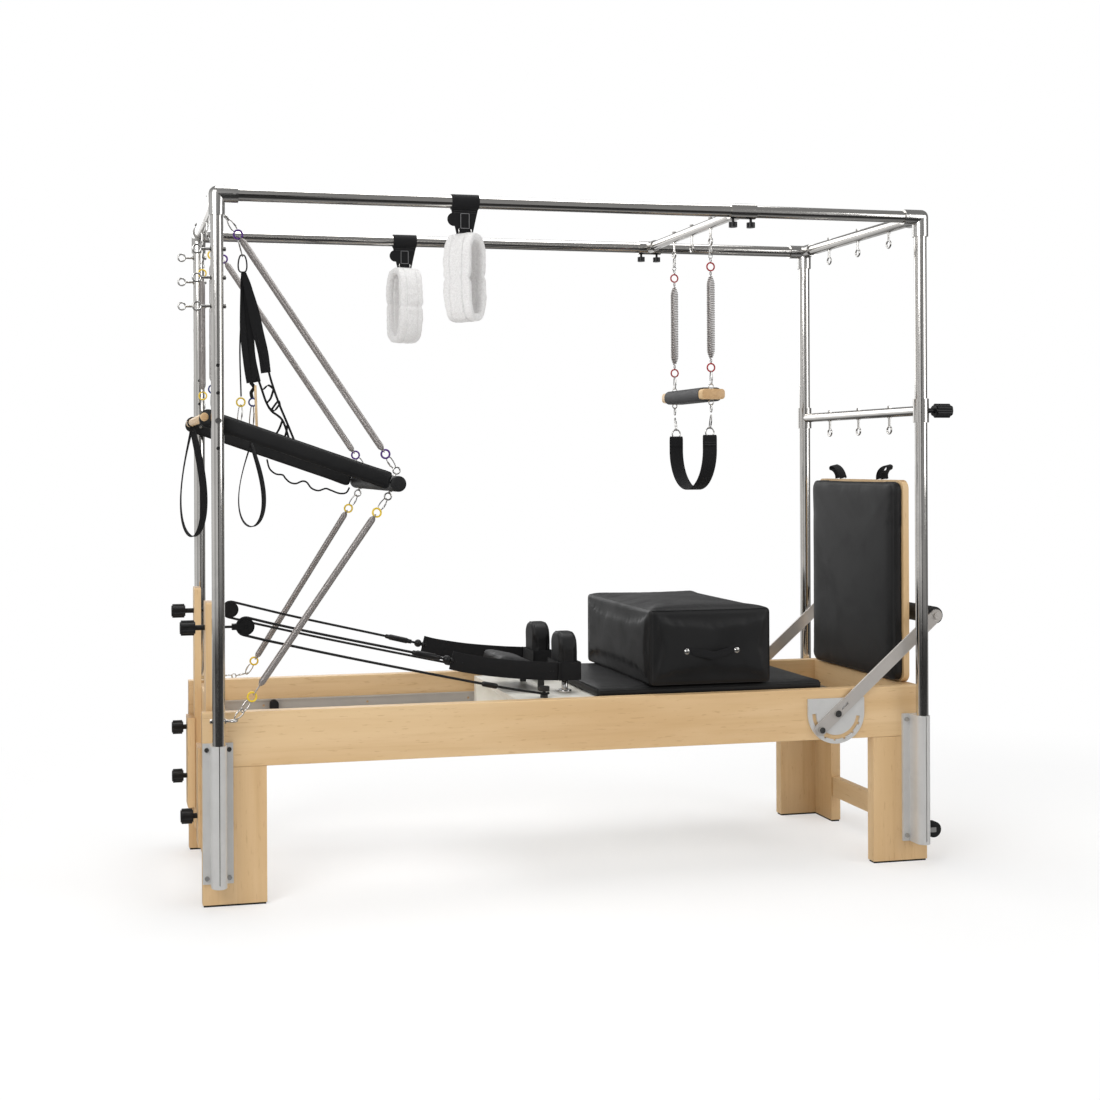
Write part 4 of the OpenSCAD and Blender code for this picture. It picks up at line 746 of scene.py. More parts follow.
slope = np.radians(19)
barX, barZ = np.array([np.cos(slope), 0, -np.sin(slope)]), np.array([np.sin(slope), 0, np.cos(slope)])
pivot = np.array([-tower["postX"], 0.0, 1426])
rollAt, dowelAt = pivot + 575 * barX, pivot - 38 * barX
arm = {"from": -51.5, "to": 550.2, "high": 54, "wide": 29.4}
for side, name in ((-1, "Near"), (1, "Far")):
    length = arm["to"] - arm["from"]
    armPad = {"width": length, "length": arm["high"], "height": arm["wide"], "radii": [12, 24, 24, 12],
              "edge": 5.5, "lowEdge": 5.5, "crown": 2.0, "pull": 0.6, "voxel": 4.0, "cap": 2.0,
              "fill": 0.95, "restBand": 1.0, "seamDeep": 0.8, "seamWide": 3.0, "piping": 2.4,
              "seamLines": [lambda s, w: ringAt(s, w, 1.0, 3.6, 7, 40),
                            lambda s, w: ringAt(s, w, 1.0, 24.5, 7, 40)]}
    middle = pivot + (arm["from"] + length / 2) * barX + np.array([0, side * 315.3, 0])
    axes = frameAxes(middle, barX, side * -barZ, (0, side, 0))
    upholster("pushArm" + name, "push_bar", armPad, axes, ["push_arms"] if side < 0 else [])

rollSleeve = [(6, 0), (21, 0), (23.4, 1.4), (24, 4)]
rollSleeve += [(24 + 0.06 * (i % 2), 4 + 21.3 * i) for i in range(1, 32)]
rollSleeve += [(24, 686), (23.4, 688.6), (21, 690), (6, 690)]
dowelShape = [(6, 0), (9.5, 0), (12, 1.8), (12.5, 4), (12.5, 692), (12, 694.2), (9.5, 696), (6, 696)]
pushRoll = makePiece("pushRoll", "push_bar",
                     [turned(rollAt - [0, 345, 0], (0, 1, 0), rollSleeve, gripFoam, 44)], ["push_rods"])
makePiece("pushDowel", "push_bar",
          [turned(dowelAt - [0, 348, 0], (0, 1, 0), dowelShape, wood[1], 28)])
eyeWasher = [(4, 0), (8.5, 0), (8.5, 1.2), (7, 2), (4, 2)]
rollEyes = []
for y in (-250, 250):
    for up in (-1, 1):
        centre = rollAt + [0, y, 0]
        rollEyes.append(rodBetween(centre + up * 21 * barZ, centre + up * 30 * barZ, 7, brightSteel))
        rollEyes.append(turned(centre + up * 23.6 * barZ, up * barZ, eyeWasher, brightSteel, 20))
        rollEyes.append(wireRing(centre + up * 42 * barZ, (0, 1, 0), 26, 5, brightSteel))
makePiece("pushRollEyes", "push_bar", rollEyes)

# Lacing under the far arm: one limp cord that hangs in bights
cordRoute = [(-902, 1316), (-893, 1284), (-872, 1266), (-848, 1262), (-838, 1250), (-822, 1236),
             (-802, 1232), (-780, 1240), (-764, 1236), (-748, 1216), (-724, 1207), (-698, 1214),
             (-680, 1208), (-650, 1197), (-626, 1199), (-614, 1217)]
cordLine = smoothPath([(x, 330, z) for x, z in cordRoute], 90)
lacing = makePiece("pushCord", "push_bar",
                   [sweep(cordLine, circle(6, 12), (0, 1, 0), blackRope)], ["push_cords"])
tuple(cordLine[0] * toMetres)
(cordLine * toMetres).tolist()


# Straps

# Hanging loop of webbing: it widens below its top and closes in a round bottom, by
# x = w sin(a) sin(a/2)^1.2 and z = -h (1 - cos a)/2
def hangingLoop(top, halfWidth, height, sideDirection):
    a = np.linspace(0.12, 2 * np.pi - 0.12, 96)
    x = halfWidth * 1.15 * np.sin(a) * np.abs(np.sin(a / 2)) ** 1.2
    z = -height * (1 - np.cos(a)) / 2
    sideways = x[:, None] * np.asarray(sideDirection, float)
    return np.asarray(top, float) + sideways + z[:, None] * upright[2]


def strap(path, width, thickness, side, closed=False, scale=None):
    return sweep(path, flatBand(width, thickness), side, blackWebbing, closed, scale)


# Sides for a strap that twists as it hangs: from edge-on it turns by a sine along its length
def twisted(count, middle, swing):
    lean = middle + swing * np.sin(np.linspace(0.12, 2 * np.pi - 0.12, count))
    return np.stack([lean, np.sqrt(1 - lean ** 2), 0 * lean], -1)


# Short rows of stitches across a strap
def stitches(centre, along, acrossWay, normal, width, count, lift):
    along, acrossWay, normal = (unit(np.asarray(v, float)) for v in (along, acrossWay, normal))
    made = []
    for i in range(count):
        at = np.asarray(centre, float) + acrossWay * width * (i / (count - 1) - 0.5) + normal * lift
        made.append(rodBetween(at - along * 1.3, at + along * 1.3, 0.9, blackThread, 5, 0.3))
    return made


# Strap of the push-through bar: a collar round the dowel and a hanging loop
loopTop = dowelAt + [0, 200, -13.2]
angles = np.linspace(0, fullTurn, 32, endpoint=False)
collarPath = dowelAt + np.stack([14.5 * np.cos(angles), 0 * angles + 200, 14.5 * np.sin(angles)], -1)
makePiece("pushStrap", "push_strap", [
    strap(collarPath, 29.5, 2.6, (0, 1, 0), closed=True),
    strap(hangingLoop(loopTop, 45, 363, (1, 0, 0)), 29.5, 2.6, twisted(96, 0.5, 0.35)),
    *[rodBetween(loopTop + [x, -14, -16], loopTop + [x, 14, -16], 2, blackThread, 6) for x in (-6, 6)]],
          ["push_strap"])

# Ropes: from the cleat under and round the pulley to the hand strap
rope = {"thick": 8, "sheave": 26.6, "pulley": (-1037, 812), "out": 243,
        "grip": ((-515, -206, 713), (-425, -199.5, 691.5)), "ball": (-403, -197.7, 686.3),
        "stop": ((-300, -235.7, 613), (-250, -236.1, 602.5))}


# Rope, grips and hand strap: the piece's placing is baked into its mesh
def slacken(piece, side):
    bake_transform(piece)


# Spot on the rope round the sheave at an angle, or away from it by lead along the run
def sheaveSpot(angle, lead):
    c, t = np.cos(np.radians(angle)), np.sin(np.radians(angle))
    return (rope["pulley"][0] + rope["sheave"] * c + lead * abs(t), -rope["out"],
            rope["pulley"][1] + rope["sheave"] * t - lead * abs(c))


lowerRun = [(-82, -237.5, 576), (-110, -237.5, 577), (-268, -236, 606), (-700, -239, 702),
            sheaveSpot(255, 70)]
upperRun = [sheaveSpot(75, 70), (-800, -227, 779), (-515, -206, 713), (-393, -197, 684)]
roundSheave = [sheaveSpot(a, 0) for a in range(255, 74, -12)]
ballAngle = np.linspace(0.3, np.pi - 0.3, 16)
ball = np.stack([13 * np.sin(ballAngle), -13 * np.cos(ballAngle)], -1)
for side, name in ((1, "Near"), (-1, "Far")):
    flip = np.array([1, side, 1])
    line = np.concatenate([smoothPath(np.array(lowerRun, float) * flip, 70),
                           np.array(roundSheave) * flip,
                           smoothPath(np.array(upperRun, float) * flip, 60)])
    run = makePiece("rope" + name, None,
                    [sweep(line, circle(rope["thick"], 12), (0, 1, 0), blackRope)],
                    ["ropes"] if side > 0 else [])
    gripStart, gripEnd = (np.array(p) * flip for p in rope["grip"])
    stopStart, stopEnd = (np.array(p) * flip for p in rope["stop"])
    way = unit(gripEnd - gripStart)
    length, stopLength = np.linalg.norm(gripEnd - gripStart), np.linalg.norm(stopEnd - stopStart)
    grip = [(5, 0), (7, 1), (7.5, 12), (9.5, 16), (9.5, length - 18), (7.5, length - 13),
            (7, length - 1), (5, length)]
    sleeve = [(4.5, 0), (7, 1.5), (8.5, 6), (8.5, stopLength - 6), (7, stopLength - 1.5),
              (4.5, stopLength)]
    fittings = makePiece("ropeFittings" + name, None, [
        turned(gripStart, way, grip, blackPlastic, 20),
        turned(np.array(rope["ball"]) * flip, way, ball, blackPlastic, 24),
        turned(stopStart, stopEnd - stopStart, sleeve, blackPlastic, 20)])
    slacken(run, side)
    slacken(fittings, side)
print("ropes made")

# Hand straps: a band from the rope's ball to a ring of webbing round the shoulder pad
bandRoute = [(-388, -195, 683), (-340, -193, 671), (-240, -190.5, 654), (-120, -189.6, 641),
             (-33, -189, 635)]
ringRoute = [(-31, -188.2), (-30.5, -84), (-27, -82.6), (5, -82.6), (37, -82.6), (40.2, -86),
             (40.2, -136), (40.2, -185.5), (37, -189), (5, -189.2), (-29, -189.2)]
for side, name in ((1, "Near"), (-1, "Far")):
    flip = np.array([1, side, 1])
    band = smoothPath(np.array(bandRoute) * flip, 60)
    ring = smoothPath(np.array([(x, y, 635.0) for x, y in ringRoute]) * flip, 90, closed=True)
    bandSide = np.cross(unit(np.gradient(band, axis=0)), [0, 1, 0])
    parts = [strap(band, 58, 2.6, bandSide), strap(ring, 58, 2.6, (0, 0, 1), closed=True),
             turned(np.array((-391, -195.2, 683.6)) * flip, unit(band[3] - band[0]),
                    [(3, 0), (7.4, 1), (8, 3), (8, 8), (5, 10)], blackPlastic, 16)]
    for x in (-372, -352, -64, -48):
        k = np.argmin(np.abs(band[:, 0] - x))
        parts += stitches(band[k], bandSide[k], np.cross([0, side, 0], bandSide[k]), [0, -side, 0],
                          0.1, 2, 1.3)
    slacken(makePiece("handStrap" + name, None, parts,
                      ["hand_straps"] if side > 0 else []), side)

# Box handles: webbing that bows out between two screws with washers
face = 290.35
screw = [(9.5, 0), (9.5, 0.8), (8, 1.4), (6.6, 1.5), (6.2, 2.6), (4, 3.3), (1.2, 3.5)]
for side, name in ((-1, "Near"), (1, "Far")):
    u = np.linspace(-112, 112, 80)
    out = 1.8 + 13.5 * np.cos(np.clip(u / 70, -1, 1) * np.pi / 2) ** 1.2 * (np.abs(u) < 70)
    sag = 15 * np.clip(1 - np.abs(u) / 78, 0, 1)
    line = np.stack([442 + u, side * (face + out), 702 - sag], -1)
    parts = [strap(line, 24, 2.2, (0, 0, 1))]
    for x in (-85, 85):
        parts.append(turned((442 + x, side * (face + 2.6), 700), (0, side, 0), screw, brightSteel, 24))
    makePiece("boxHandle" + name, "sitting_box", parts,
              ["box_handles"] if side < 0 else [])

# Carrying loops on top of the jump board: each strap rises, flops outwards and comes back
flop = [(-24, 0), (-22, 12), (-12, 28), (6, 40), (28, 46), (42, 42), (40, 33), (22, 27), (8, 14),
        (6, 0)]
rivet = [(5, 0), (5, 1), (3.4, 2.2), (1, 2.6)]
for side, name in ((-1, "Near"), (1, "Far")):
    y = 140 * side
    line = smoothPath([(1139.5, y + side * d, 1240.6 + up) for d, up in flop], 60)
    lean = np.linspace(0, np.pi, 60)
    line[:, 0] -= 5 * np.sin(lean)
    makePiece("jumpLoop" + name, "jump_board", [
        strap(line, 28, 2.4, np.stack([0 * lean + 1, 0.25 * np.sin(lean), 0.2 * np.sin(lean)], -1)),
        *[turned((1139.5, y + side * d, 1240.4), (0, 0, 1), rivet, brightSteel, 18)
          for d in (-31, 14)]],
              ["jump_loops"] if side < 0 else [])
print("straps made")


# Long springs between an eye of the frame and the push-through bar

# Where a hook meets a ring of centre c when it pulls towards another point
def hooked(c, toward, normal, outer, wire):
    c, toward, normal = (np.asarray(v, float) for v in (c, toward, normal))
    way = unit(toward - c)
    flat = way - normal * (way @ normal)
    return c + (outer - wire) / 2 * unit(flat) + (wire / 2 + 0.3) * way


longSpring = {"thick": 22, "wire": 2.9, "ring": 32, "hook": 34, "from": 63, "to": 63}


# Spring from a to b: its coil, and at each end a snap hook, a painted ring and a short stem
def springParts(a, b, ringFinish, s, normal=(0, 1, 0)):
    way = unit(b - a)
    side = unit(np.cross(way, normal))
    up = np.cross(side, way)
    ends = []
    for end, inward, lead in ((a, way, s["from"]), (b, -way, s["to"])):
        hook, ring = s["hook"], s["ring"]
        ends.append([*snapHook(end - inward * 5, end + inward * (hook + 1.5), up, 18, 3.8, brightSteel),
                     wireRing(end + inward * (hook - 2 + ring / 2), up, ring, 6, ringFinish),
                     rodBetween(end + inward * (hook - 4 + ring), end + inward * (lead + 2), 4,
                                springSteel, 10),
                     wireRing(end + inward * (hook + ring - 6), side, 13, 3.2, springSteel, 20, 8)])
    start, stop = a + way * s["from"], b - way * s["to"]
    turns = np.linalg.norm(stop - start) / (s["wire"] * 1.03)
    body = coil(start, stop, s["thick"], s["wire"], round(turns), springSteel, taper=5, endShare=0.35)
    return body, ends, start, stop


eyeLean = np.radians(40)
for side, name in ((-1, "Near"), (1, "Far")):
    upperEye = np.array([-tower["postX"] + 58 * np.sin(eyeLean), side * 250,
                         tower["railZ"] - 58 * np.cos(eyeLean)])
    lowerEye = np.array([-1088.0, side * tower["postY"], 553])
    upperRing = rollAt + [0, side * 250, 0] + 42 * barZ
    lowerRing = rollAt + [0, side * 250, 0] - 42 * barZ
    eyeAxis = np.array([np.cos(eyeLean), 0, np.sin(eyeLean)])
    chain = np.array([28, 5, 28]) if side < 0 else np.array([116, -15, 28])
    link, down = lowerEye + chain, unit(chain)
    for kind, eye, axis, ring, paint in (("Upper", upperEye, eyeAxis, upperRing, purplePaint),
                                         ("Lower", link, (0, 0, 1), lowerRing, yellowPaint)):
        a = hooked(eye, ring, axis, 30, 6) if kind == "Upper" else link
        b = hooked(ring, eye, (0, 1, 0), 26, 5)
        lead = 88 if (side, kind) == (-1, "Lower") else longSpring["from"]
        body, ends, start, stop = springParts(a, b, paint, {**longSpring, "from": lead})
        if kind == "Lower":
            foot = lowerEye + down * 8
            middle = (foot + link) / 2
            if side > 0:
                ends[0] += snapHook(foot, middle + down * 5, (0, 1, 0), 19, 4, brightSteel)
                ends[0].append(wireRing(middle + down * 11, (0, 1, 0), 19, 3.6, brightSteel, 24, 8))
                ends[0] += snapHook(middle + down * 17, link + down * 3, (0, 0, 1), 17, 4, brightSteel)
            else:
                ends[0] += snapHook(foot, link + down * 3, (0, 1, 0), 17, 4, brightSteel)
        stands = ["push_springs"] if (side, kind) == (-1, "Upper") else []
        made = makePiece("longSpring" + kind + name, None, [body], stands)
        tuple(start * toMetres)
        tuple(stop * toMetres)
        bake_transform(made)
        makePiece("springHookFrame" + kind + name, "bed_frame", ends[0])
        makePiece("springHookBar" + kind + name, "push_bar", ends[1])

# Bed springs between the spring bar and the carriage
bedSprings = {"y": (-120, -60, 0, 60, 120), "z": 482, "thick": 22, "wire": 3.2, "turns": 50}
springBall = [(4, 0), (9, 1), (11, 5), (11.5, 10), (11, 15), (9, 19), (4, 20)]
for i, y in enumerate(bedSprings["y"]):
    z, number = bedSprings["z"], str(i + 1)
    body = coil((872, y, z), (1042, y, z), bedSprings["thick"], bedSprings["wire"], bedSprings["turns"],
                springSteel, taper=3, endShare=0.4)
    spring = makePiece("bedSpring" + number, None, [body],
                       ["reformer_springs"] if i == 0 else [])
    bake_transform(spring)
    makePiece("bedSpringAnchor" + number, "carriage", [
        rodBetween((850.6, y, z), (875, y, z), 6, brightSteel),
        wireRing((866, y, z), (0, 1, 0), 14, 3, brightSteel, 20, 8)])
    makePiece("bedSpringHook" + number, "bed_frame", [
        rodBetween((1040, y, z), (1067.5, y, z), 6, brightSteel),
        turned((1040, y, z), (1, 0, 0), springBall, blackRubber, 24)])
print("long springs and bed springs made")


# Trapeze on the sliding bar

trapeze = {"x": 512.0, "bar": 1524.0, "topRing": 1944.0, "coil": (1917.8, 1637.8), "lowRing": 1611.7,
           "thick": 27, "wire": 4.4, "turns": 46}
slideX, barAt = trapeze["x"], trapeze["bar"]
coilTopZ, coilLowZ = trapeze["coil"]
boltWasher = [(3, 0), (8, 0), (8, 1.4), (6, 2.2), (3, 2.2)]
hangParts, trapezeRings = [], []
for y in (-145, 145):
    hangParts += snapHook((slideX, y, 2018), (slideX, y, 1983), (1, 0, 0), 17, 4, brightSteel)
    for k, z in enumerate((1978, 1966)):
        hangParts.append(wireRing((slideX, y, z), (k, 1 - k, 0), 16, 3.2, brightSteel, 24, 8))
    hangParts.append(wireRing((slideX, y, trapeze["topRing"]), (0, 1, 0), 31, 5, redPaint))
    body = coil((slideX, y, coilTopZ - 5), (slideX, y, coilLowZ + 5), trapeze["thick"], trapeze["wire"],
                trapeze["turns"], springSteel, taper=5, endShare=0.3, steps=14, sides=8)
    spring = makePiece("trapezeSpring" + ("Near" if y < 0 else "Far"), None, [
        body, wireRing((slideX, y, coilTopZ + 4), (1, 0, 0), 15, 3.4, springSteel, 24, 8)],
                       ["trapeze_springs"] if y < 0 else [])
    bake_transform(spring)
    trapezeRings += [wireRing((slideX, y, 1634), (1, 0, 0), 15, 3.4, springSteel, 24, 8),
                     wireRing((slideX, y, trapeze["lowRing"]), (0, 1, 0), 31, 5, redPaint)]
    trapezeRings += snapHook((slideX, y, 1601), (slideX, y, 1556), (1, 0, 0), 17, 4, brightSteel)
    trapezeRings += [wireRing((slideX, y, 1550), (0, 1, 0), 20, 4, brightSteel, 24, 8),
                     turned((slideX, y, 1541), (0, 0, 1), boltWasher, brightSteel, 20),
                     turned((slideX, y, 1507), (0, 0, -1), boltWasher, brightSteel, 20),
                     wireRing((slideX, y, 1497), (0, 1, 0), 20, 4, brightSteel, 24, 8)]
    trapezeRings += snapHook((slideX, y, 1490), (slideX, y, 1465), (1, 0, 0), 13, 3.4, brightSteel)
makePiece("trapezeHooks", "trapeze_hanger", hangParts, ["trapeze_hooks"])
makePiece("trapezeFittings", "trapeze", trapezeRings)


# Sweep along y at the height of the trapeze bar, scaled at each step
def barSweep(steps, profile, finish, scale):
    line = np.array([[slideX, y, barAt] for y in steps], float)
    return sweep(line, profile, (1, 0, 0), finish, scale=scale)


makePiece("trapezeBoard", "trapeze", [
    barSweep((-165, -164.2, -162.5, -80, 0, 80, 162.5, 164.2, 165), flatBand(81, 34, 11, 6), wood[1],
             [0.93, 0.98, 1, 1, 1, 1, 1, 0.98, 0.93])], ["trapeze_bar"])
sleeveScale = [0.985, 1.0] + [1 + 0.002 * (i % 2) for i in range(25)] + [1.0, 0.985]
sleeve = makePiece("trapezeSleeve", "trapeze", [
    barSweep([-136, -135.4, *np.linspace(-134, 134, 25), 135.4, 136], flatBand(86, 46, 20, 7), greyFoam,
             sleeveScale)])

# Sling under the trapeze: a webbing strap in a U, folded and sewn round a ring at each end
slingR = 134.0
a = np.linspace(0, np.pi, 80)
curve = np.stack([0 * a + slideX, -slingR * np.cos(a), 1342 - slingR * np.sin(a)], -1)
leg = np.linspace(1380, 1346, 10)
uLine = np.concatenate([np.stack([0 * leg + slideX, 0 * leg - slingR, leg], -1), curve,
                        np.stack([0 * leg + slideX, 0 * leg + slingR, leg[::-1]], -1)])
slingParts = [strap(uLine, 50, 3.2, (1, 0, 0))]
for y in (-slingR, slingR):
    inward = -np.sign(y)
    slingParts.append(wireRing((slideX, y, 1399), (0, 1, 0), 34, 5, brightSteel))
    fold = [(1.6, 1352), (3.4, 1374), (3.8, 1384), (0, 1389.5), (-3.8, 1384), (-3.4, 1374),
            (-1.6, 1352)]
    foldLine = smoothPath([(slideX, y + out, z) for out, z in fold], 30)
    slingParts.append(strap(foldLine, 46, 2.2, (1, 0, 0)))
    for z in (1358, 1366):
        slingParts.append(rodBetween((slideX - 20, y - 4.2 * inward, z),
                                     (slideX + 20, y - 4.2 * inward, z), 1.2, blackThread, 6))
    slingParts += snapHook((slideX, np.sign(y) * 145, 1455), (slideX, y, 1411), (1, 0, 0), 14, 3.6,
                           brightSteel)
makePiece("slingStrap", "sling", slingParts, ["trapeze_sling"])
print("trapeze made")


# Fleece loops: a padded band in a tall ring, quilted by seams across it, hung from its strap

fleece = {"half": (60, 134), "thick": 27, "wide": 92, "z": 1858, "around": 220, "section": 72,
          "seam": 28, "girth": 640}


# Middle line of the ring: |cos|^0.62 and |sin|^0.62 of the angle, by the half width and height
def fleeceRing(s, off, angle):
    c, t = np.cos(angle), np.sin(angle)
    return np.stack([(s["half"][0] - off) * np.sign(c) * np.abs(c) ** 0.62,
                     0 * c, (s["half"][1] - off) * np.sign(t) * np.abs(t) ** 0.62], -1)


# Uneven pile: sines along random directions, five times over at finer and finer scale
def lumps(points, seed, scale):
    rng = np.random.default_rng(seed)
    total = np.zeros(len(points))
    for octave in range(5):
        waves = rng.normal(size=(9, 3)) * scale * 1.7 ** octave
        phase = rng.uniform(0, 2 * np.pi, 9)
        total += np.sin(points @ waves.T + phase).mean(1) / 1.45 ** octave
    return total


# The ring's level diameter points along the bearing; a central panel is bounded by two seams
# all the way round, and one seam crosses the band at the middle of each side
def fleeceBand(x, y, s, seed, bearing):
    c, t = np.cos(np.radians(bearing)), np.sin(np.radians(bearing))
    level, axis = np.array([c, t, 0]), np.array([-t, c, 0])
    ringAngles = np.linspace(0, fullTurn, 24, endpoint=False) + 0.01
    flat = smoothPath(fleeceRing(s, s["thick"] / 2, ringAngles), s["around"], closed=True)
    path = flat[:, :1] * level + flat[:, 2:] * upright[2]
    a = roundAngles(s["section"])
    power = 0.5
    section = np.stack([np.sign(np.cos(a)) * np.abs(np.cos(a)) ** power * s["wide"] / 2,
                        np.sign(np.sin(a)) * np.abs(np.sin(a)) ** power * s["thick"] / 2], -1)
    part = sweep(path, section, axis, fleeceCloth, closed=True)
    grid = part["points"].reshape(s["around"], s["section"], 3)
    middle = path[:, None]
    outward = unit(grid - middle)
    u = np.arange(s["around"])[:, None] / s["around"]
    fromCross = np.abs((2 * u + 0.5) % 1 - 0.5) / 2 * s["girth"]
    fromSeam = np.abs(np.abs(section[None, :, 0]) - s["seam"])
    dip = 5.2 * np.exp(-(fromSeam / 3.0) ** 2) + 4.6 * np.exp(-(fromCross / 3.6) ** 2)
    fuzz = lumps(grid.reshape(-1, 3), seed, 0.03).reshape(grid.shape[:2]) * 3.2
    fuzz += lumps(grid.reshape(-1, 3), seed + 9, 0.12).reshape(grid.shape[:2]) * 1.3
    reach = np.linalg.norm(grid - middle, axis=2) - dip - 1.4 + fuzz
    grid = middle + outward * reach[:, :, None] + [x, y, s["z"]]
    part["points"] = grid.reshape(-1, 3)
    return part


wrapRadius = 21.4
drop = np.linspace(2064, 1986, 24)
narrowing = np.linspace(1, 0.58, 24)
flap = [(2, -1.2), (19, -1.2), (20.5, 0), (19, 1.2), (2, 1.2)]
for side, name, x, seed, bearing in ((-1, "Front", -386.0, 3, 46), (1, "Rear", -406.0, 8, 107)):
    y = float(tower["postY"] * side)
    body = "fleece_loop_" + name.lower()
    band = makePiece("fleece" + name, body,
                     [fleeceBand(x, y, fleece, seed, bearing)], [body])
    angles = np.linspace(0, fullTurn, 40, endpoint=False)
    wrap = np.stack([0 * angles + x, y + wrapRadius * np.cos(angles),
                     tower["railZ"] + wrapRadius * np.sin(angles)], -1)
    parts = [strap(wrap, 84, 3, (1, 0, 0), closed=True)]
    for push in (1.7, -1.7):
        tail = np.stack([0 * drop + x, y + push + 1.4 * np.sin((2064 - drop) / 30), drop], -1)
        parts.append(strap(tail, 83, 2.6, (1, 0, 0), scale=narrowing))
    for z in (2052, 2058):
        parts.append(rodBetween((x - 34, y - 4.3, z), (x + 34, y - 4.3, z), 1.2, blackThread, 6))
    patch = [(x - 13, 2050), (x + 13, 2050), (x + 13, 2006), (x - 13, 2006)]
    for (x1, z1), (x2, z2) in zip(patch, patch[1:] + patch[:1]):
        parts.append(rodBetween((x1, y - 4.6, z1), (x2, y - 4.6, z2), 1.7, greyThread, 6))
    for shift in (-19, 19):
        parts.append(rodBetween((x + shift, y - 5, 2004), (x + shift, y - 5, 1990), 3.4, brightSteel,
                                10))
    parts.append(rodBetween((x - 19, y - 5, 1990), (x + 19, y - 5, 1990), 3, brightSteel, 10))
    parts.append(turned((x - 33, y + 0.5, 2033), (0, 1, 0), flap, blackWebbing, 28))
    makePiece("fleeceStrap" + name, body, parts)
print("fleece loops made")


# Springs that hang at the head end, and the harness

hanging = {"y": 205.0, "from": 1908, "to": 1548, "thick": 22, "wire": 2.8, "turns": 124}
for side, name, paint in ((-1, "Near", bluePaint), (1, "Far", yellowPaint)):
    x, y = -float(tower["postX"]), side * hanging["y"]
    parts = snapHook((x, y, 2017), (x, y, 1981), (1, 0, 0), 15, 3.6, brightSteel)
    parts += [wireRing((x, y, 1974), (1, 0, 0), 18, 3.4, brightSteel, 24, 8)]
    parts += snapHook((x, y, 1968), (x, y, 1944), (0, 1, 0), 12, 3.4, brightSteel)
    parts += [wireRing((x, y, 1933), (0, 1, 0), 30, 5, yellowPaint),
              wireRing((x, y, 1914), (1, 0, 0), 15, 3, springSteel, 20, 8),
              coil((x, y, hanging["from"]), (x, y, hanging["to"]), hanging["thick"], hanging["wire"],
                   hanging["turns"], springSteel, taper=6, endShare=0.35, width=(0.85, 1)),
              wireRing((x, y, 1543), (1, 0, 0), 13, 3, springSteel, 20, 8),
              wireRing((x, y, 1527), (0, 1, 0), 30, 5, paint)]
    parts += snapHook((x, y, 1517), (x, y, 1472), (0, 1, 0), 14, 3.6, brightSteel)
    makePiece("hangingSpring" + name, "hanging_springs", parts,
              ["hanging_springs"] if side < 0 else [])

webY = -230.0  # the plane that the harness hangs in


def inPlane(points, y=webY):
    return np.array([(x, y, z) for x, z in points], float)


harnessParts = []
# Folded bands: width, distance from the plane, lean and route
foldRoutes = [
    (38, -3.5, 0.25, [(-1041, 1880), (-1030, 1846), (-1012, 1780), (-996, 1704), (-980, 1636),
                      (-972, 1576)]),
    (36, 3.5, -0.3, [(-1040, 1878), (-1037, 1830), (-1026, 1760), (-1022, 1690), (-1016, 1620),
                     (-1000, 1548)]),
    (22, 0.2, 0.5, [(-1042, 1876), (-1042, 1800), (-1040, 1700), (-1030, 1600), (-1022, 1545)]),
    (26, -0.4, -0.5, [(-1034, 1878), (-1020, 1830), (-1000, 1744), (-982, 1660), (-966, 1588)])]
for width, off, lean, route in foldRoutes:
    line = smoothPath(inPlane(route, webY + off), 70)
    line[:, 1] += 1.6 * np.sin(np.linspace(0, 7, 70) + off)
    t = np.linspace(0, 1, 70)[:, None]
    side = np.array([[1.0, lean, 0.1]]) * (1 - t) + np.array([[1.0, -lean, 0.2]]) * t
    fan = np.interp(np.linspace(0, 1, 70), [0, 0.16, 0.5, 1], [0.30, 0.55, 0.9, 0.8])
    harnessParts.append(strap(line, width, 2.2, side, scale=fan))
netRoutes = [
    [(-975, 1640), (-962, 1576), (-948, 1528), (-930, 1478), (-905, 1418), (-879, 1354)],
    [(-996, 1560), (-985, 1528), (-972, 1490), (-955, 1461), (-922, 1433), (-901, 1374)],
    [(-948, 1528), (-964, 1538), (-980, 1526)],
    [(-931, 1480), (-947, 1462), (-963, 1470)],
    [(-956, 1463), (-935, 1490), (-929, 1478)],
    [(-921, 1434), (-932, 1406), (-947, 1382)],
    [(-906, 1419), (-914, 1384), (-931, 1352)],
    [(-948, 1528), (-957, 1500), (-968, 1486)]]
for i, route in enumerate(netRoutes):
    line = smoothPath(inPlane(route, webY + 0.6 * (i % 3 - 1)), 36)
    harnessParts.append(strap(line, 7.5, 2.4, (1, 0.4, 0.5)))
strandPath = smoothPath(inPlane([(-1041, 1838), (-1046, 1740), (-1050, 1640), (-1047, 1504)]), 50)
harnessParts.append(strap(strandPath, 5, 2, (1, 0.3, 0)))
harnessParts.append(snapHook((-1041, webY, 1931), (-1041, webY, 1879), (0, 1, 0), 30, 4.6,
                             blackWebbing)[0])
harnessParts += snapHook((-1041, webY, 1926), (-1056, -250, 1972), (1, 0, 0), 14, 3.4, brightSteel)
harnessParts.append(wireRing((-1048, webY, 1487), (0, 1, 0), 30, 5, yellowPaint))
harnessParts += snapHook((-1048, webY, 1479), (-1053, webY, 1428), (0, 1, 0), 14, 3.4, brightSteel)
harnessParts.append(wireRing((-1012, webY, 1487), (0, 1, 0), 28, 5, bluePaint))
knot = smoothPath([(-1018, webY - 4, 1546), (-1008, webY, 1532), (-1016, webY + 3, 1516),
                   (-1013, webY, 1498)], 24)
harnessParts.append(strap(knot, 11, 4, (1, 0.2, 0)))
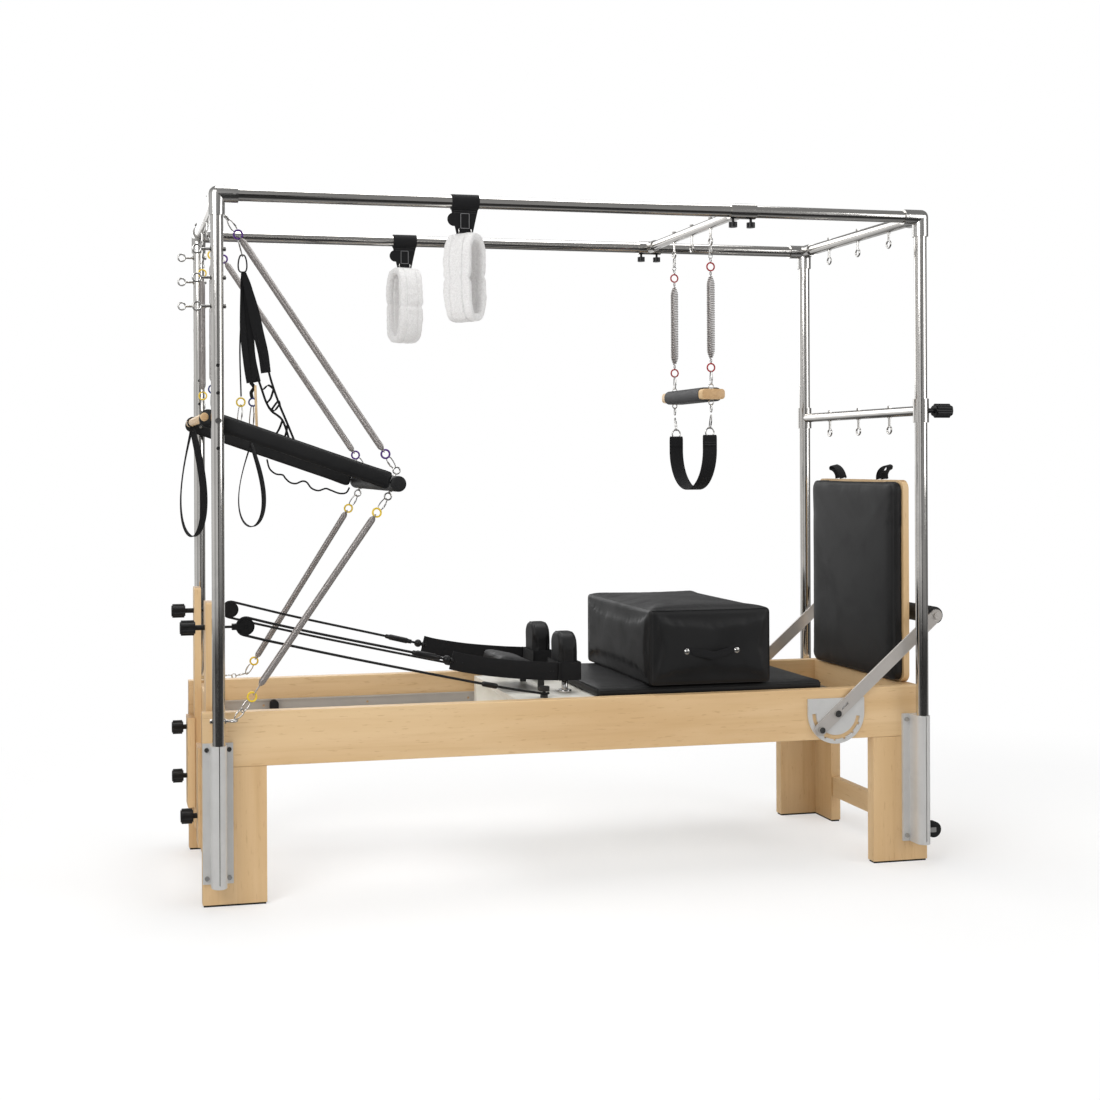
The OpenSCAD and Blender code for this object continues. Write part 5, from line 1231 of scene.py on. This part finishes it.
harnessParts.append(rodBetween((-1004, webY, 1538), (-1000, webY, 1412), 8, wood[2], 16))
harnessParts += snapHook((-1013, webY, 1478), (-1016, -219, 1404), (0, 1, 0), 14, 3.4, brightSteel)
harnessParts.append(rodBetween((-1016, -218, 1408), (-1016, -216, 1364), 5, blackWebbing, 10))
harnessParts.append(strap(hangingLoop((-1016, -216, 1364), 45, 253, (1, 0, 0)), 25, 2.6,
                          twisted(96, 0.38, 0.25)))
makePiece("harnessWeb", "harness", harnessParts, ["harness"])
print("hanging springs and harness made")


# Dark rods inside the posts, seen through their holes: painted shade that stands in for the dim inside
# of the hollow tubes
holeShadeRods = [rodBetween((x, y, 120), (x, y, 2050), 33, blackPlastic, 24)
          for x in (-tower["postX"], tower["postX"]) for y in (-tower["postY"], tower["postY"])]
makePiece("postHoleShade", "bed_frame", holeShadeRods)


# Finishes of the nodes that stay

kept = {
    wood[0]: ["side_rails"], wood[1]: ["cross_rails", "leg_stretchers"],
    wood[2]: ["legs_head", "legs_foot", "risers", "jump_board"],
    tube[2]: ["posts"], tube[0]: ["top_rails"], tube[1]: ["top_bars", "slide_bar", "lower_bar"],
    brightSteel: ["frame_screws", "corner_elbows", "canopy_eyebolts", "spring_bar", "footbar_latch"],
    satinAluminium: ["post_brackets", "footbar_plates"], trackAluminium: ["carriage_tracks"],
    armAluminium: ["footbar_arms"], deckFinish: ["carriage_frame"],
    blackRubber: ["foot_pads", "track_stops", "carriage_wheels_head", "carriage_wheels_foot",
                  "transport_wheels"],
    blackPlastic: ["pulley_blocks", "pulley_wheel_front", "pulley_wheel_rear", "riser_knob_front",
                   "riser_knob_rear", "clamp_knobs", "slide_knobs", "lower_bar_knob"]}
for finish, names in kept.items():
    for name in names:
        nodes[name].data.materials.clear()
        nodes[name].data.materials.append(finish)


# Studio: a white floor that keeps the shadow, soft lamps, and a grey tent that only gloss
# sees, which draws the lines along the tubes

floorMesh = bpy.data.meshes.new("floor")
half = 30  # of the floor's side, in metres
corners = [(-half, -half, 0), (half, -half, 0), (half, half, 0), (-half, half, 0)]
floorMesh.from_pydata(corners, [], [(0, 1, 2, 3)])
floor = bpy.data.objects.new("floor", floorMesh)
bpy.context.scene.collection.objects.link(floor)
ground = Finish("floorWhite", {"Base Color": (0.95, 0.95, 0.95, 1), "Roughness": 0.9,
                               "Specular IOR Level": 0.0})
apart = ground.add("ShaderNodeVectorMath", {"operation": "LENGTH"},
                   {0: ground.spot((0.32, 0.55, 1))}, 1)
white = ground.add("ShaderNodeEmission", {}, {"Color": (1, 1, 1, 1), "Strength": 1.0})
shown = Wire(ground, ground.add("ShaderNodeLightPath").socket.node.outputs["Is Camera Ray"])
mixed = ground.add("ShaderNodeMixShader", {}, {0: apart.upTo(0.55, 1.3) * 0.56 + shown * 0.44})
ground.tree.links.new(ground.shader.outputs[0], mixed.socket.node.inputs[1])
ground.tree.links.new(white.socket, mixed.socket.node.inputs[2])
ground.tree.links.new(mixed.socket, ground.tree.nodes["Material Output"].inputs["Surface"])
floorMesh.materials.append(ground.material)

world = bpy.data.worlds.new("studio")
bpy.context.scene.world = world
world.use_nodes = True
sky = Graph(world.node_tree)
ray = sky.add("ShaderNodeLightPath").socket.node
seen = Wire(sky, ray.outputs["Is Camera Ray"]) + Wire(sky, ray.outputs["Is Glossy Ray"])
seen = seen + Wire(sky, ray.outputs["Is Transmission Ray"])
backdrop = world.node_tree.nodes["Background"]
ambient = 0.5
sky.feed(backdrop.inputs["Color"], (1, 1, 1, 1))
sky.feed(backdrop.inputs["Strength"], ambient + (1 - ambient) * (seen > 0.5))

lamps = {"key": {"place": (-3.4, -3.2, 3.6), "size": 2.6, "power": 105},
         "top": {"place": (0.2, 0.5, 4.6), "size": 3.0, "power": 95},
         "fill": {"place": (4.2, -3.4, 2.4), "size": 2.6, "power": 56},
         "back": {"place": (-1.0, 4.6, 3.2), "size": 3.0, "power": 45}}
for name, s in lamps.items():
    light = bpy.data.lights.new(name, "AREA")
    light.size = s["size"]
    light.energy = s["power"]
    lamp = bpy.data.objects.new(name, light)
    bpy.context.scene.collection.objects.link(lamp)
    lamp.location = s["place"]
    aim = np.array([0, 0, 0.9]) - np.array(s["place"])
    lamp.rotation_euler = Vector(aim).to_track_quat("-Z", "Y").to_euler()


# Mesh that is seen in reflections only
def seenInGloss(name, points, faces, finish):
    mesh = bpy.data.meshes.new(name)
    mesh.from_pydata(points, [], faces)
    mesh.materials.append(finish.material)
    shape = bpy.data.objects.new(name, mesh)
    bpy.context.scene.collection.objects.link(shape)
    shape.visible_camera = shape.visible_diffuse = shape.visible_shadow = False
    shape.visible_transmission = False


# Material that only glows, and the grey that a ramp gives for a factor
def glow(name, ramp, factorOf):
    finish = Finish(name, {"Roughness": 1.0, "Specular IOR Level": 0.0, "Emission Strength": 1.0,
                           "Base Color": (0, 0, 0, 1)})
    node = finish.add("ShaderNodeValToRGB", {}, {"Fac": factorOf(finish)}).socket.node
    elements = node.color_ramp.elements
    for i, (at, grey) in enumerate(ramp):
        element = elements[i] if i < 2 else elements.new(at)
        element.position, element.color = at, (grey, grey, grey, 1)
    return finish, Wire(finish, node.outputs[0])


# Tent round the object: its grey depends on the bearing, from behind (-180 degrees) past
# the left side (-90) and the camera (0) to the right side (90). It falls off overhead, and
# there is a white strip low down behind the object.
bearings = [(-180, 0.3), (-140, 0.25), (-126, 0.6), (-76, 0.66), (-66, 0.4), (-50, 0.42), (-36, 0.62),
            (-10, 0.5), (3, 0.26), (45, 0.28), (66, 0.15), (95, 0.15), (131, 0.25), (180, 0.3)]


# Bearing as a share of a full turn, from 0 to 1
def bearingOf(finish):
    x, y, z = finish.split(finish.spot())
    angle = finish.add("ShaderNodeMath", {"operation": "ARCTAN2"}, {0: x, 1: y * -1.0})
    return angle * (1 / fullTurn) + 0.5


tent, grey = glow("tentGrey", [(b / 360 + 0.5, g) for b, g in bearings], bearingOf)
depth, height = tent.split(tent.spot())[1:]
overhead = height.upTo(2.0, 7.6)
behind = depth.upTo(6.5, 7.4) * (1.0 - height.upTo(2.6, 3.6))
sides = tent.mix(overhead, grey, (0.24, 0.24, 0.24, 1))
tent.set("Emission Color", tent.mix(behind, sides, (1, 1, 1, 1)))
tentRadius = 8.0
turn, climb = np.meshgrid(np.linspace(0, fullTurn, 65), np.linspace(-0.1, np.pi / 2, 17))
dome = tentRadius * np.stack([np.cos(turn) * np.cos(climb), np.sin(turn) * np.cos(climb),
                              np.sin(climb)], -1)
index = np.arange(65 * 17).reshape(17, 65)
domeFaces = np.stack([index[:-1, :-1], index[:-1, 1:], index[1:, 1:], index[1:, :-1]], -1)
seenInGloss("tent", dome.reshape(-1, 3).tolist(), domeFaces.reshape(-1, 4).tolist(), tent)

# Floor as reflections see it: dark in front of the object, paler under it
stripes = [(0.0, 0.03), (0.33, 0.03), (0.39, 0.22), (0.48, 0.3), (0.56, 0.3), (0.6, 0.08),
           (0.75, 0.08), (0.9, 0.6)]
paper, paperGrey = glow("floorGrey", stripes, lambda f: f.split(f.spot())[1] * 0.1 + 0.5)
paper.set("Emission Color", paperGrey)
seenInGloss("floorGloss", [(-9, -9, 0.004), (9, -9, 0.004), (9, 9, 0.004), (-9, 9, 0.004)],
            [(0, 1, 2, 3)], paper)

# Dark card round the camera
darkCard = Finish("darkCard", {"Base Color": (0.02, 0.02, 0.02, 1), "Roughness": 1.0,
                               "Specular IOR Level": 0.0})
seenInGloss("cameraCard", [(-1.35, -4.9, 0), (-0.1, -4.9, 0), (-0.1, -4.9, 2.7), (-1.35, -4.9, 2.7)],
            [(0, 1, 2, 3)], darkCard)

bpy.context.scene.view_settings.view_transform = "Standard"
print("studio made")
